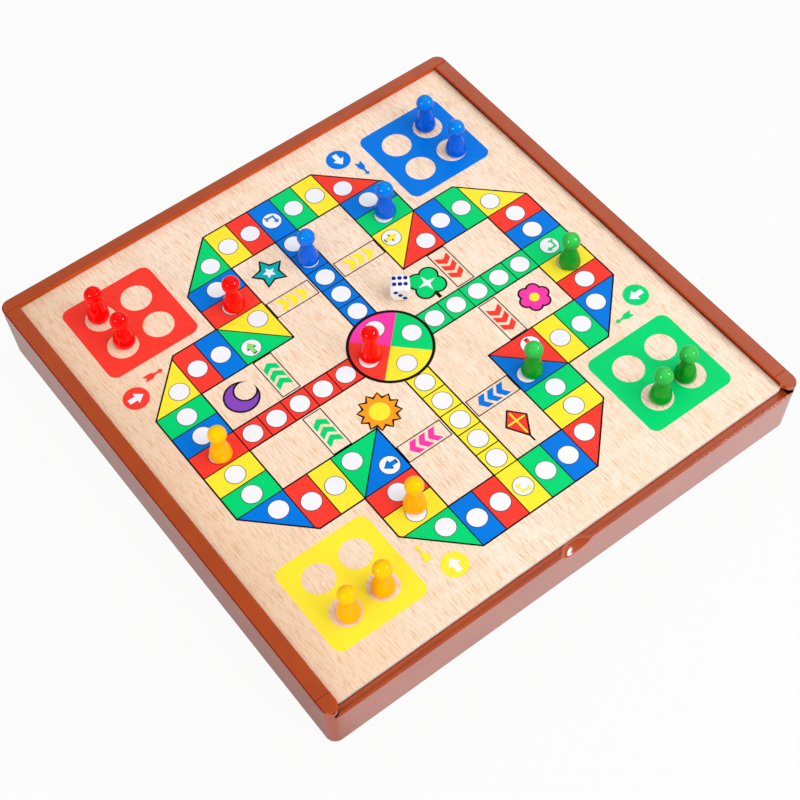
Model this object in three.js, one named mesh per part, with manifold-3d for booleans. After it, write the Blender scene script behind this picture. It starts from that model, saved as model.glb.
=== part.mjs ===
// A multi-game board set: a shallow brown moulded case whose top rails hold a sliding printed board, with
// turned pawns and a die on the board, and a spare board, dividers and draughtsmen inside the case.
// Millimetres. +X runs along the front edge, +Y to the back, +Z up.
// The origin is under the middle of the case.
import * as THREE from 'three';
import { mergeVertices } from 'three/addons/utils/BufferGeometryUtils.js';
import Module from 'manifold-3d';

const wasm = await Module();
wasm.setup();

// Case: outer size at the rim, and the shell
const caseWidth = 295;
const caseDepth = 296;
const caseHeight = 37;
const wallDraft = 1.4; // how far the walls lean in at the bottom
const caseCornerRadius = 5.5;
const bottomEdgeRound = 1.8;
const rimEdgeRound = 0.9;
const wallThickness = 2.4;
const floorThickness = 2;

// Rails: what frames the board and holds it down on three sides
const sideRailWidth = 8.6;
const backRailWidth = 7.4;
const grooveDepth = 2.4; // how far the board reaches under a rail, with its gap
const lipThickness = 2.9;
const capLength = 10.5; // front corner block that is one with the case
const capMouthRadius = 9; // rounds the cap's inner corner where the board comes out
const pieceGap = 0.3; // between pieces that touch

// Game board
const boardThickness = 2.9;
const boardCornerRadius = 4;
const boardFrontSetback = 5;
const boardSideGap = 0.4;
const slideGap = 0.3; // above and below the board in its groove
const cellPitch = 14.4; // side of one square of the printed track

// Shelf that carries the board, and the low front wall
const shelfThickness = 3;
const shelfWidth = 10; // from the outer face of a side wall inwards, past the wall
const frontShelfWidth = 6.8;
const ledgeDrop = 0.4; // the front wall's top lies lower than the shelf
const beadWidth = 1;
const beadClearance = 0.2; // under the board as it slides over the bead
const scoopLength = 19;
const scoopReach = 5.3; // how far the thumb scoop runs back over the wall
const scoopDip = 3.8; // how far it dips down the front face
const scoopBossMargin = 3;

// Dividers that stand in the case
const dividerThickness = 2.4;
const dividerFit = 0.3;
const tabHeight = 8;
const tabOverrun = 1.5;
const ribWidth = 1.6;
const ribReach = 2.5;
const frontWellDepth = 78;
const rearWellDepth = 98;

// Spare board
const spareThickness = 2.3;
const spareHeadroom = 2.3;
const spareSideGap = 1;
const spareCornerRadius = 4;

// Pawn
const pawnHeight = 23;
const pawnBaseRadius = 5.95;
const pawnNeckRadius = 2.9;
const pawnHeadRadius = 4.9;
const pawnFootRound = 0.8;

// Die
const dieSide = 10.8;
const dieRoundRadius = 7.75; // sphere that rounds off the cube's corners
const pipRadius = 1.15;
const pipDepth = 0.35;
const pipSpacing = 2.9;

// Draughtsman
const draughtRadius = 13;
const draughtThickness = 5.5;
const draughtEdge = 0.8;
const draughtRimWidth = 2.4;
const draughtDish = 0.7;
const draughtSpacing = 30;

// One overrun serves every cut
const cutOverrun = 20;

// Counts
const cornerSteps = 5;
const edgeSteps = 2;
const pawnSides = 14;
const pawnSteps = 4;
const headSteps = 6;
const draughtSides = 16;
const pipSides = 8;
const ballSides = 24;
const ballRings = 12;
const roundSides = 40;
const scoopRings = 16;
const stackCount = 4;
const stackHeight = 3;

// Levels
const lipUnder = caseHeight - lipThickness;
const boardTop = lipUnder - slideGap;
const boardBottom = boardTop - boardThickness;
const shelfTop = boardBottom - slideGap;
const shelfUnder = shelfTop - shelfThickness;
const ledgeTop = shelfTop - ledgeDrop;
const beadTop = boardBottom - beadClearance;
const restLevel = floorThickness + pieceGap; // where loose pieces and dividers stand in the case
const spareTop = boardBottom - spareHeadroom;
const spareBottom = spareTop - spareThickness;
const dividerTop = spareBottom - pieceGap;

// Places in plan
const rimX = caseWidth / 2;
const rimY = caseDepth / 2;
const windowX = rimX - sideRailWidth;
const windowBack = rimY - backRailWidth;
const grooveX = windowX + grooveDepth;
const grooveBack = windowBack + grooveDepth;
const jointFront = capLength - rimY;
const jointBack = windowBack;
const boardHalfX = grooveX - boardSideGap;
const boardFront = boardFrontSetback - rimY;
const boardBack = grooveBack - boardSideGap;
const mouthX = rimX - wallDraft - shelfWidth;
const mouthBack = rimY - wallDraft - shelfWidth;
const mouthFront = frontShelfWidth - rimY;
const cavityX = rimX - wallDraft - wallThickness;
const cavityY = rimY - wallDraft - wallThickness;
const frontDividerY = frontWellDepth - cavityY;
const rearDividerY = cavityY - rearWellDepth;

const plastic = (color) => new THREE.MeshStandardMaterial({ color, roughness: 0.28, metalness: 0 });
const materials = {
  caseBrown: plastic(0xa8481e),
  dividerBrown: new THREE.MeshStandardMaterial({ color: 0x9a5a34, roughness: 0.5, metalness: 0 }),
  boardWood: new THREE.MeshStandardMaterial({ color: 0xf5dec3, roughness: 0.45, metalness: 0 }),
  red: plastic(0xff1a12),
  blue: plastic(0x0a6ee6),
  green: plastic(0x2fae45),
  yellow: plastic(0xffb312),
  dieWhite: plastic(0xf4f4f0),
  draughtLight: plastic(0xe8cf9f),
  draughtDark: plastic(0x3a2418),
};

// A closed geometry as a solid that can be cut and joined
function solid(geometry) {
  const bare = geometry.clone();
  bare.deleteAttribute('normal');
  bare.deleteAttribute('uv');
  const merged = mergeVertices(bare);
  return new wasm.Manifold(
    new wasm.Mesh({
      numProp: 3,
      vertProperties: new Float32Array(merged.attributes.position.array),
      triVerts: new Uint32Array(merged.index.array),
    }),
  );
}

// A solid as a geometry again
function geometryOf(body) {
  const mesh = body.getMesh();
  const geometry = new THREE.BufferGeometry();
  geometry.setAttribute('position', new THREE.BufferAttribute(new Float32Array(mesh.vertProperties), 3));
  geometry.setIndex(new THREE.BufferAttribute(new Uint32Array(mesh.triVerts), 1));
  return geometry;
}

// A box between two corners
function block([x0, y0, z0], [x1, y1, z1]) {
  const geometry = new THREE.BoxGeometry(x1 - x0, y1 - y0, z1 - z0);
  return solid(geometry.translate((x0 + x1) / 2, (y0 + y1) / 2, (z0 + z1) / 2));
}

// An upright round bar between two heights
function upright(radius, bottom, top, x, y) {
  const geometry = new THREE.CylinderGeometry(radius, radius, top - bottom, roundSides);
  return solid(geometry.rotateX(Math.PI / 2).translate(x, y, (bottom + top) / 2));
}

// One ring of a rounded rectangle at a height, anticlockwise from above
function roundedRing(halfX, halfY, radius, z) {
  const ring = [];
  const corners = [[1, 1], [-1, 1], [-1, -1], [1, -1]];
  corners.forEach(([signX, signY], quarter) => {
    for (let step = 0; step <= cornerSteps; step += 1) {
      const angle = (quarter + step / cornerSteps) * (Math.PI / 2);
      ring.push(
        new THREE.Vector3(
          signX * (halfX - radius) + radius * Math.cos(angle),
          signY * (halfY - radius) + radius * Math.sin(angle),
          z,
        ),
      );
    }
  });
  return ring;
}

// A closed geometry through rings of equal length, from the lowest to the highest
function loft(rings) {
  const count = rings[0].length;
  const points = rings.flat();
  const low = points.push(new THREE.Vector3(0, 0, rings[0][0].z)) - 1;
  const high = points.push(new THREE.Vector3(0, 0, rings.at(-1)[0].z)) - 1;
  const top = (rings.length - 1) * count;
  const faces = [];
  for (let i = 0; i < count; i += 1) {
    const next = (i + 1) % count;
    faces.push(low, next, i, high, top + i, top + next);
    for (let level = 0; level < top; level += count) {
      faces.push(level + i, level + next, level + count + next);
      faces.push(level + i, level + count + next, level + count + i);
    }
  }
  const geometry = new THREE.BufferGeometry().setFromPoints(points);
  geometry.setIndex(faces);
  return geometry;
}

// A flat plate with round corners, centred in plan on a given y
function plate(halfX, front, back, radius, bottom, top) {
  const halfY = (back - front) / 2;
  const rings = [bottom, top].map((z) => roundedRing(halfX, halfY, radius, z));
  return loft(rings).translate(0, (front + back) / 2, 0);
}

// The full outer block of the case, drafted, with its edges rounded
function outerBlock() {
  const rings = [];
  const addRing = (z, edgeInset) => {
    const inset = edgeInset + wallDraft * (1 - z / caseHeight);
    rings.push(roundedRing(rimX - inset, rimY - inset, caseCornerRadius, z));
  };
  for (let step = 0; step <= edgeSteps; step += 1) {
    const angle = (step / edgeSteps) * (Math.PI / 2);
    addRing(bottomEdgeRound * (1 - Math.cos(angle)), bottomEdgeRound * (1 - Math.sin(angle)));
  }
  for (let step = 0; step <= edgeSteps; step += 1) {
    const angle = (step / edgeSteps) * (Math.PI / 2);
    addRing(caseHeight - rimEdgeRound * (1 - Math.sin(angle)), rimEdgeRound * (1 - Math.cos(angle)));
  }
  return solid(loft(rings));
}

// What the board slides in: the groove under the rails, and the window between them
function boardSpace() {
  const front = -rimY - cutOverrun;
  const groove = block([-grooveX, front, shelfTop], [grooveX, grooveBack, lipUnder]);
  const window = block([-windowX, front, shelfTop], [windowX, windowBack, caseHeight + cutOverrun]);
  return groove.add(window);
}

// Takes the cap's inner front corner off in an arc, on one side
function capMouth(side) {
  const outer = windowX + capMouthRadius;
  const start = capMouthRadius - rimY;
  const corner = block(
    [windowX - cutOverrun, -rimY - cutOverrun, lipUnder],
    [outer, start, caseHeight + cutOverrun],
  );
  const kept = upright(capMouthRadius, lipUnder - cutOverrun, caseHeight + cutOverrun * 2, outer, start);
  const cutter = corner.subtract(kept);
  return side > 0 ? cutter : cutter.mirror([1, 0, 0]);
}

// The thumb scoop: an ellipsoid through the front wall's top edge
const scoopRadius = ((scoopLength / 2) ** 2 + scoopReach ** 2) / (2 * scoopReach);
const scoopCentreY = scoopReach - scoopRadius - rimY;
const scoopDropShare = scoopLength / 2 / scoopRadius;

function scoopCutter() {
  const geometry = new THREE.SphereGeometry(scoopRadius, roundSides, scoopRings);
  geometry.scale(1, 1, scoopDip / scoopDropShare / scoopRadius);
  return solid(geometry.translate(0, scoopCentreY, ledgeTop));
}

// The thick place in the front wall behind the scoop, grown by a clearance where something passes it
function scoopBoss(clearance) {
  const bossX = scoopLength / 2 + scoopBossMargin + clearance;
  const bottom = ledgeTop - scoopDip - scoopBossMargin - clearance;
  const front = -rimY + wallDraft + wallThickness / 2;
  return block([-bossX, front, bottom], [bossX, mouthFront + clearance, ledgeTop]);
}

// The bead on the front wall's outer edge, which runs round the back of the scoop
function frontBead() {
  const reach = grooveX - pieceGap;
  const front = -rimY + rimEdgeRound;
  const back = front + beadWidth;
  const round = upright(scoopRadius + beadWidth, shelfUnder, beadTop, 0, scoopCentreY);
  const roundPlace = block([-scoopLength, front, shelfUnder], [scoopLength, mouthFront, beadTop]);
  const straight = block([-reach, front, shelfUnder], [reach, back, beadTop]);
  const core = upright(scoopRadius, ledgeTop, ledgeTop + cutOverrun, 0, scoopCentreY);
  return straight.add(round.intersect(roundPlace)).subtract(core);
}

// A pair of ribs on a wall that holds a divider's end; along is 'x' for a divider that runs along X
function ribPair(along, centre, wallSide, wallPlace) {
  const halfSlot = dividerThickness / 2 + dividerFit;
  const ribs = [-1, 1].map((side) => {
    const near = centre + side * halfSlot;
    const far = centre + side * (halfSlot + ribWidth);
    const [low, high] = [Math.min(near, far), Math.max(near, far)];
    const wallEnds = [wallSide * (wallPlace - ribReach), wallSide * (wallPlace + wallThickness / 2)];
    const [start, end] = [Math.min(...wallEnds), Math.max(...wallEnds)];
    const bottom = floorThickness / 2;
    return along === 'x'
      ? block([start, low, bottom], [end, high, dividerTop])
      : block([low, start, bottom], [high, end, dividerTop]);
  });
  return ribs[0].add(ribs[1]);
}

// The dividers' places: two run the width of the case, the others stand between them and a wall
const longDividers = [
  { name: 'divider_front', y: frontDividerY },
  { name: 'divider_rear', y: rearDividerY },
];
const frontWellShares = [-0.5, 0, 0.5];
const frontCrossNames = ['divider_pawns_left', 'divider_pawns_middle', 'divider_pawns_right'];
const crossDividers = frontWellShares.map((share, index) => (
  { name: frontCrossNames[index], x: share * cavityX, wallSide: -1, carrierY: frontDividerY }
));
crossDividers.push({ name: 'divider_draughts', x: 0, wallSide: 1, carrierY: rearDividerY });

function caseTray() {
  const cavity = block([-cavityX, -cavityY, floorThickness], [cavityX, cavityY, shelfUnder]);
  const mouth = block([-mouthX, mouthFront, shelfUnder], [mouthX, mouthBack, caseHeight]);
  const railSpace = block(
    [-rimX - cutOverrun, jointFront, shelfTop],
    [rimX + cutOverrun, rimY + cutOverrun, caseHeight + cutOverrun],
  );
  const frontStep = block(
    [-grooveX, -rimY - cutOverrun, ledgeTop],
    [grooveX, mouthFront, boardBottom],
  );
  let tray = outerBlock().subtract(cavity).subtract(mouth).subtract(railSpace);
  tray = tray.subtract(boardSpace()).subtract(frontStep).subtract(capMouth(1)).subtract(capMouth(-1));
  tray = tray.add(scoopBoss(0)).add(frontBead()).subtract(scoopCutter());
  for (const { y } of longDividers) {
    tray = tray.add(ribPair('x', y, -1, cavityX)).add(ribPair('x', y, 1, cavityX));
  }
  for (const { x, wallSide } of crossDividers) {
    tray = tray.add(ribPair('y', x, wallSide, cavityY));
  }
  return tray;
}

// The ring of rails over the case's walls, cut into its three separate strips
function rail(low, high) {
  const bottom = shelfTop + pieceGap;
  const place = block([...low, bottom], [...high, caseHeight + cutOverrun]);
  return outerBlock().intersect(place).subtract(boardSpace());
}

const farX = rimX + cutOverrun;
const farY = rimY + cutOverrun;

function longDivider(y) {
  const halfX = cavityX - dividerFit;
  const halfY = dividerThickness / 2;
  let panel = block([-halfX, y - halfY, restLevel], [halfX, y + halfY, dividerTop]);
  for (const { x, carrierY } of crossDividers) {
    if (carrierY === y) {
      const slotX = dividerThickness / 2 + dividerFit;
      const slotZ = tabHeight / 2 + dividerFit;
      const middle = (restLevel + dividerTop) / 2;
      const low = [x - slotX, y - dividerThickness, middle - slotZ];
      const high = [x + slotX, y + dividerThickness, middle + slotZ];
      panel = panel.subtract(block(low, high));
    }
  }
  return panel;
}

function crossDivider({ x, wallSide, carrierY }) {
  const halfX = dividerThickness / 2;
  const middle = (restLevel + dividerTop) / 2;
  const wallEnd = wallSide * (cavityY - dividerFit);
  const carrierEnd = carrierY + wallSide * (dividerThickness / 2 + dividerFit);
  const tabEnd = carrierY - wallSide * (dividerThickness / 2 + tabOverrun);
  const [front, back] = [Math.min(wallEnd, carrierEnd), Math.max(wallEnd, carrierEnd)];
  const [tabFront, tabBack] = [Math.min(wallEnd, tabEnd), Math.max(wallEnd, tabEnd)];
  const panel = block([x - halfX, front, restLevel], [x + halfX, back, dividerTop]);
  const tab = block(
    [x - halfX, tabFront, middle - tabHeight / 2],
    [x + halfX, tabBack, middle + tabHeight / 2],
  );
  return panel.add(tab).subtract(scoopBoss(dividerFit));
}

// A turned pawn: a bell-shaped body that narrows to a neck under a ball head
function pawnGeometry() {
  const headCentre = pawnHeight - pawnHeadRadius;
  const neckAngle = Math.asin(pawnNeckRadius / pawnHeadRadius);
  const neckHeight = headCentre - pawnHeadRadius * Math.cos(neckAngle);
  const bellPowerShare = 2.2;
  const outline = [new THREE.Vector2(0, 0), new THREE.Vector2(pawnBaseRadius - pawnFootRound, 0)];
  for (let step = 0; step < pawnSteps; step += 1) {
    const rise = step / pawnSteps;
    const radius = pawnBaseRadius - (pawnBaseRadius - pawnNeckRadius) * rise ** bellPowerShare;
    outline.push(new THREE.Vector2(radius, pawnFootRound + (neckHeight - pawnFootRound) * rise));
  }
  for (let step = 0; step <= headSteps; step += 1) {
    const angle = neckAngle + ((Math.PI - neckAngle) * step) / headSteps;
    const radius = step === headSteps ? 0 : pawnHeadRadius * Math.sin(angle);
    outline.push(new THREE.Vector2(radius, headCentre - pawnHeadRadius * Math.cos(angle)));
  }
  return new THREE.LatheGeometry(outline, pawnSides).rotateX(Math.PI / 2);
}

// A draughtsman: a flat round piece with a raised rim on its upper face
function draughtGeometry() {
  const dishRadius = draughtRadius - draughtRimWidth;
  const outline = [
    [0, 0],
    [draughtRadius - draughtEdge, 0],
    [draughtRadius, draughtEdge],
    [draughtRadius, draughtThickness - draughtEdge],
    [draughtRadius - draughtEdge, draughtThickness],
    [dishRadius, draughtThickness],
    [dishRadius - draughtDish, draughtThickness - draughtDish],
    [0, draughtThickness - draughtDish],
  ];
  const points = outline.map(([radius, height]) => new THREE.Vector2(radius, height));
  return new THREE.LatheGeometry(points, draughtSides).rotateX(Math.PI / 2);
}

// The pips of one face of the die, in steps of the pip spacing across the face
const pipPatterns = {
  1: [[0, 0]],
  2: [[-1, -1], [1, 1]],
  3: [[-1, 1], [0, 0], [1, -1]],
  4: [[-1, -1], [-1, 1], [1, -1], [1, 1]],
  5: [[-1, -1], [-1, 1], [1, -1], [1, 1], [0, 0]],
  6: [[-1, -1], [0, -1], [1, -1], [-1, 1], [0, 1], [1, 1]],
};

// Each face: its pips, and the turn about X and then Y that brings a face on top to its place
const dieFaces = [
  { pips: 6, turnX: 0, turnY: 0 },
  { pips: 1, turnX: Math.PI, turnY: 0 },
  { pips: 3, turnX: Math.PI / 2, turnY: 0 },
  { pips: 4, turnX: -Math.PI / 2, turnY: 0 },
  { pips: 2, turnX: 0, turnY: Math.PI / 2 },
  { pips: 5, turnX: 0, turnY: -Math.PI / 2 },
];

function dieGeometry() {
  const cube = solid(new THREE.BoxGeometry(dieSide, dieSide, dieSide));
  const ball = solid(new THREE.SphereGeometry(dieRoundRadius, ballSides, ballRings));
  let body = cube.intersect(ball);
  const dimpleRadius = (pipRadius ** 2 + pipDepth ** 2) / (2 * pipDepth);
  const capAngle = Math.asin(pipRadius / dimpleRadius);
  const halfwayRadius = dimpleRadius * Math.sin(capAngle / 2);
  const halfwayDepth = dimpleRadius * (Math.cos(capAngle / 2) - Math.cos(capAngle));
  const dimple = [
    new THREE.Vector2(0, -pipDepth),
    new THREE.Vector2(halfwayRadius, -halfwayDepth),
    new THREE.Vector2(pipRadius, 0),
    new THREE.Vector2(pipRadius, pipDepth),
    new THREE.Vector2(0, pipDepth),
  ];
  for (const { pips, turnX, turnY } of dieFaces) {
    for (const [across, up] of pipPatterns[pips]) {
      const cutter = new THREE.LatheGeometry(dimple, pipSides).rotateX(Math.PI / 2);
      cutter.translate(across * pipSpacing, (up * pipSpacing * (pips === 6 ? 2 : 3)) / 3, dieSide / 2);
      body = body.subtract(solid(cutter.rotateX(turnX).rotateY(turnY)));
    }
  }
  return geometryOf(body).translate(0, 0, dieSide / 2);
}

// Where the pawns and the die stand on the board, in track squares from its middle
const pawnPlaceShares = {
  red: [[-7.54, 7.66], [-7.41, 6.12], [-3.39, 4.98], [-0.81, 0.1]],
  blue: [[7.5, 7.63], [7.63, 5.86], [3.62, 5.09], [0, 5.07]],
  green: [[6.08, -7.6], [7.36, -7.46], [7.47, -1.09], [3.28, -3.98]],
  yellow: [[-7.5, -7.64], [-6.06, -7.6], [-7.36, -0.04], [-3.35, -5.76]],
};
const diePlaceShare = [1.7, 1.66];
const dieTurn = THREE.MathUtils.degToRad(-34.5);

const set = new THREE.Group();

function addPiece(name, geometry, material) {
  const mesh = new THREE.Mesh(geometry, material);
  mesh.name = name;
  set.add(mesh);
  return mesh;
}

addPiece('case_tray', geometryOf(caseTray()), materials.caseBrown);
const halfGap = pieceGap / 2;
const rails = {
  left_rail: [[-farX, jointFront + halfGap], [0, jointBack - halfGap]],
  right_rail: [[0, jointFront + halfGap], [farX, jointBack - halfGap]],
  back_rail: [[-farX, jointBack + halfGap], [farX, farY]],
};
for (const [name, [low, high]] of Object.entries(rails)) {
  addPiece(name, geometryOf(rail(low, high)), materials.caseBrown);
}

for (const { name, y } of longDividers) {
  addPiece(name, geometryOf(longDivider(y)), materials.dividerBrown);
}
for (const divider of crossDividers) {
  addPiece(divider.name, geometryOf(crossDivider(divider)), materials.dividerBrown);
}

const spareHalfX = mouthX - spareSideGap;
const spareFront = mouthFront + spareSideGap;
const spareBack = mouthBack - spareSideGap;
addPiece(
  'spare_board',
  plate(spareHalfX, spareFront, spareBack, spareCornerRadius, spareBottom, spareTop),
  materials.boardWood,
);
addPiece(
  'game_board',
  plate(boardHalfX, boardFront, boardBack, boardCornerRadius, boardBottom, boardTop),
  materials.boardWood,
);

const pawn = pawnGeometry();
for (const [colour, places] of Object.entries(pawnPlaceShares)) {
  places.forEach(([across, back], index) => {
    const mesh = addPiece(`pawn_${colour}_${index + 1}`, pawn, materials[colour]);
    mesh.position.set(across * cellPitch, back * cellPitch, boardTop + pieceGap);
  });
}

const die = addPiece('die', dieGeometry(), materials.dieWhite);
die.position.set(diePlaceShare[0] * cellPitch, diePlaceShare[1] * cellPitch, boardTop + pieceGap);
die.rotation.z = dieTurn;

// The draughtsmen lie in short stacks in a row along the back wall, light ones left and dark ones right
const draught = draughtGeometry();
const draughtRowY = cavityY - ribReach - draughtRadius - pieceGap;
for (const [shade, side, material] of [
  ['light', -1, materials.draughtLight],
  ['dark', 1, materials.draughtDark],
]) {
  for (let index = 0; index < stackCount * stackHeight; index += 1) {
    const stack = index % stackCount;
    const layer = Math.floor(index / stackCount);
    const mesh = addPiece(`draught_${shade}_${index + 1}`, draught, material);
    const x = side * (cavityX / 2 + (stack - (stackCount - 1) / 2) * draughtSpacing);
    mesh.position.set(x, draughtRowY, restLevel + layer * (draughtThickness + pieceGap));
  }
}

export default set;
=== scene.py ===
"""A multi-game board set: a brown moulded case with a sliding printed board, pawns, a die and draughtsmen.

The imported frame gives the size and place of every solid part. This script models the finished surfaces
around it. Metres, +X along the front edge, +Y to the back, +Z up.
"""

import logging
import math
from collections.abc import Callable, Iterable, Iterator, Sequence
from contextlib import contextmanager
from dataclasses import dataclass
from enum import Enum

import bmesh
import bpy
from mathutils import Euler, Matrix, Vector


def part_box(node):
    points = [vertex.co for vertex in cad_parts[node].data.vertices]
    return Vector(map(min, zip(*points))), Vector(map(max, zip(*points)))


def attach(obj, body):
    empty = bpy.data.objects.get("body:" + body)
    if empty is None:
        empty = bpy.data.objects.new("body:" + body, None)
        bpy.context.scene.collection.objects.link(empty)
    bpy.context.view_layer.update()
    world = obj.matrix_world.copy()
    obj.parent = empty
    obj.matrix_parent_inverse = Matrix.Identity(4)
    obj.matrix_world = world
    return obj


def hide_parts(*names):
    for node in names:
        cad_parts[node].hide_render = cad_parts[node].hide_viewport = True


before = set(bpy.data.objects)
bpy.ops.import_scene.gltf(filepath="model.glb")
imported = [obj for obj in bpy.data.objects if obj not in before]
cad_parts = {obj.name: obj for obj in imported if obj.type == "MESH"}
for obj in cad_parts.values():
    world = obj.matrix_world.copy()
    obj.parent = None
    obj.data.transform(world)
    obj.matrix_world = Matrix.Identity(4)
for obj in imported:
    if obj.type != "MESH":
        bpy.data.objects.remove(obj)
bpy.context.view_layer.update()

LOG = logging.getLogger("board_set")
MM = 0.001
OVERRUN = 20 * MM
TINY = MM / 100
DOUBLED = MM / 1000
UP = Vector((0, 0, 1))
NO_PLACE = Matrix.Identity(4)
SMOOTH_ANGLE = math.radians(32)
QUARTER = math.pi / 2

# How much of a direction lies along an axis
MOSTLY = 0.5
NEARLY = 0.9
HARDLY = 0.1

# The sRGB curve
SRGB_MOST = 255
SRGB_BEND = 0.04045
SRGB_SLOPE = 12.92
SRGB_OFFSET = 0.055
SRGB_POWER = 2.4

Colour = tuple[float, float, float, float]
Test = Callable[[Vector, Vector], bool]
Point = Sequence[float]
Socket = bpy.types.NodeSocket


def linear(*rgb: int) -> Colour:
    """Turns an sRGB colour into the linear one that shaders take.

    Args:
        rgb: Red, green and blue, from 0 to 255.

    Returns:
        The linear colour with an alpha of 1.
    """
    shares = [value / SRGB_MOST for value in rgb]
    parts = [
        share / SRGB_SLOPE
        if share <= SRGB_BEND
        else ((share + SRGB_OFFSET) / (1 + SRGB_OFFSET)) ** SRGB_POWER
        for share in shares
    ]
    return (*parts, 1.0)


# The bench: picking up pieces and shaping them


class Pick(Enum):
    """The kind of element that an edit acts on."""

    CORNERS = "VERT"
    EDGES = "EDGE"
    FACES = "FACE"


class Combine(Enum):
    """How one solid meets another."""

    ADD = "UNION"
    CUT = "DIFFERENCE"
    KEEP = "INTERSECT"


def put_down() -> None:
    """Deselects everything, so that the next operator acts only on what is picked."""
    if bpy.context.mode != "OBJECT":
        bpy.ops.object.mode_set(mode="OBJECT")
    bpy.ops.object.select_all(action="DESELECT")


def everything(_place: Vector, _direction: Vector) -> bool:
    """Picks all."""
    return True


def upright(_place: Vector, along: Vector) -> bool:
    """Picks the edges that stand upright."""
    return abs(along.z) > MOSTLY


class Workpiece:
    """One mesh on the bench: a primitive that is shaped in edit mode and finished with modifiers."""

    def __init__(self, body: bpy.types.Object, name: str) -> None:
        """Takes an object as this piece.

        Args:
            body: The mesh object.
            name: The piece's name.
        """
        self.body = body
        body.name = name
        body.data.name = name

    @classmethod
    def added(cls, name: str) -> "Workpiece":
        """Takes the primitive that was added last, and puts its place in its mesh."""
        bpy.ops.object.transform_apply(location=True, rotation=True, scale=True)
        return cls(bpy.context.object, name)

    @classmethod
    def block(cls, name: str, low: Point, high: Point) -> "Workpiece":
        """Adds a block.

        Args:
            name: The piece's name.
            low: Its lowest corner.
            high: Its highest corner.

        Returns:
            The block.
        """
        low, high = Vector(low), Vector(high)
        put_down()
        bpy.ops.mesh.primitive_cube_add(size=1, location=(low + high) / 2, scale=high - low)
        return cls.added(name)

    @classmethod
    def bar(
        cls, name: str, radius: float, centre: Point, bottom: float, top: float, sides: int
    ) -> "Workpiece":
        """Adds an upright round bar.

        Args:
            name: The piece's name.
            radius: Its radius.
            centre: Its axis in plan.
            bottom: The height that it starts from.
            top: The height that it ends at.
            sides: How many sides it has.

        Returns:
            The bar.
        """
        put_down()
        place = (*centre, (bottom + top) / 2)
        bpy.ops.mesh.primitive_cylinder_add(vertices=sides, radius=radius, depth=top - bottom, location=place)
        return cls.added(name)

    @classmethod
    def ball(cls, name: str, radii: Point, centre: Point, sides: int, rings: int) -> "Workpiece":
        """Adds a ball.

        Args:
            name: The piece's name.
            radii: Its radius along each axis.
            centre: Its middle.
            sides: How many sides it has round the upright axis.
            rings: How many rings it has from pole to pole.

        Returns:
            The ball.
        """
        put_down()
        bpy.ops.mesh.primitive_uv_sphere_add(
            segments=sides, ring_count=rings, radius=1, location=centre, scale=radii
        )
        return cls.added(name)

    @classmethod
    def sheet(cls, low: Point, high: Point) -> "Workpiece":
        """Adds a flat rectangle at height zero.

        Args:
            low: Its lowest corner in plan.
            high: Its highest corner in plan.

        Returns:
            The sheet.
        """
        put_down()
        middle = ((low[0] + high[0]) / 2, (low[1] + high[1]) / 2, 0)
        bpy.ops.mesh.primitive_plane_add(size=1, location=middle)
        bpy.context.object.scale = (high[0] - low[0], high[1] - low[1], 1)
        return cls.added("sheet")

    @classmethod
    def disc(cls, radius: float, centre: Point, sides: int, turn: float = 0) -> "Workpiece":
        """Adds a flat disc, or with few sides a polygon, at height zero.

        Args:
            radius: Its radius to the corners.
            centre: Its middle in plan.
            sides: How many sides it has.
            turn: Its turn about the upright axis.

        Returns:
            The disc.
        """
        put_down()
        bpy.ops.mesh.primitive_circle_add(
            vertices=sides, radius=radius, fill_type="NGON", location=(*centre, 0), rotation=(0, 0, turn)
        )
        return cls.added("disc")

    @classmethod
    def turned(cls, name: str, outline: Iterable[Point], sides: int) -> "Workpiece":
        """Turns an outline about the upright axis, as on a lathe.

        Args:
            name: The piece's name.
            outline: Points as (radius, height), from the axis at the bottom to the axis at the top.
            sides: How many sides the turned piece has.

        Returns:
            The closed piece.
        """
        points = [Vector((radius, 0, height)) for radius, height in outline]
        put_down()
        bpy.ops.mesh.primitive_plane_add(size=1, location=points[0])
        piece = cls.added(name)
        with piece.picked(Pick.CORNERS, everything):
            bpy.ops.mesh.merge(type="CENTER")
            for start, end in zip(points, points[1:]):
                bpy.ops.mesh.extrude_region_move(TRANSFORM_OT_translate={"value": end - start})
            bpy.ops.mesh.select_all(action="SELECT")
            bpy.ops.mesh.spin(steps=sides, angle=math.tau, center=(0, 0, 0), axis=UP)
        piece.heal()
        return piece

    def take(self) -> None:
        """Picks this piece up, and puts all others down."""
        put_down()
        self.body.select_set(True)
        bpy.context.view_layer.objects.active = self.body

    def discard(self) -> None:
        """Takes the piece off the bench for good."""
        bpy.data.objects.remove(self.body)

    def put(self, place: Matrix) -> None:
        """Brings the piece's mesh to a place."""
        self.body.data.transform(place)

    @contextmanager
    def picked(self, kind: Pick, test: Test) -> Iterator[None]:
        """Opens the piece for an edit with the elements that pass a test selected.

        Args:
            kind: Corners, edges or faces.
            test: Says yes or no for an element's middle and its direction or normal.
        """
        self.take()
        bpy.ops.object.mode_set(mode="EDIT")
        bpy.ops.mesh.select_mode(type=kind.value)
        bpy.ops.mesh.select_all(action="DESELECT")
        mesh = bmesh.from_edit_mesh(self.body.data)
        if kind is Pick.FACES:
            chosen = [face for face in mesh.faces if test(face.calc_center_median(), face.normal)]
        elif kind is Pick.EDGES:
            chosen = []
            for edge in mesh.edges:
                start, end = (corner.co for corner in edge.verts)
                if test((start + end) / 2, (end - start).normalized()):
                    chosen.append(edge)
        else:
            chosen = [corner for corner in mesh.verts if test(corner.co, corner.normal)]
        for element in chosen:
            element.select_set(True)
        mesh.select_flush_mode()
        bmesh.update_edit_mesh(self.body.data)
        yield
        bpy.ops.object.mode_set(mode="OBJECT")

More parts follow.
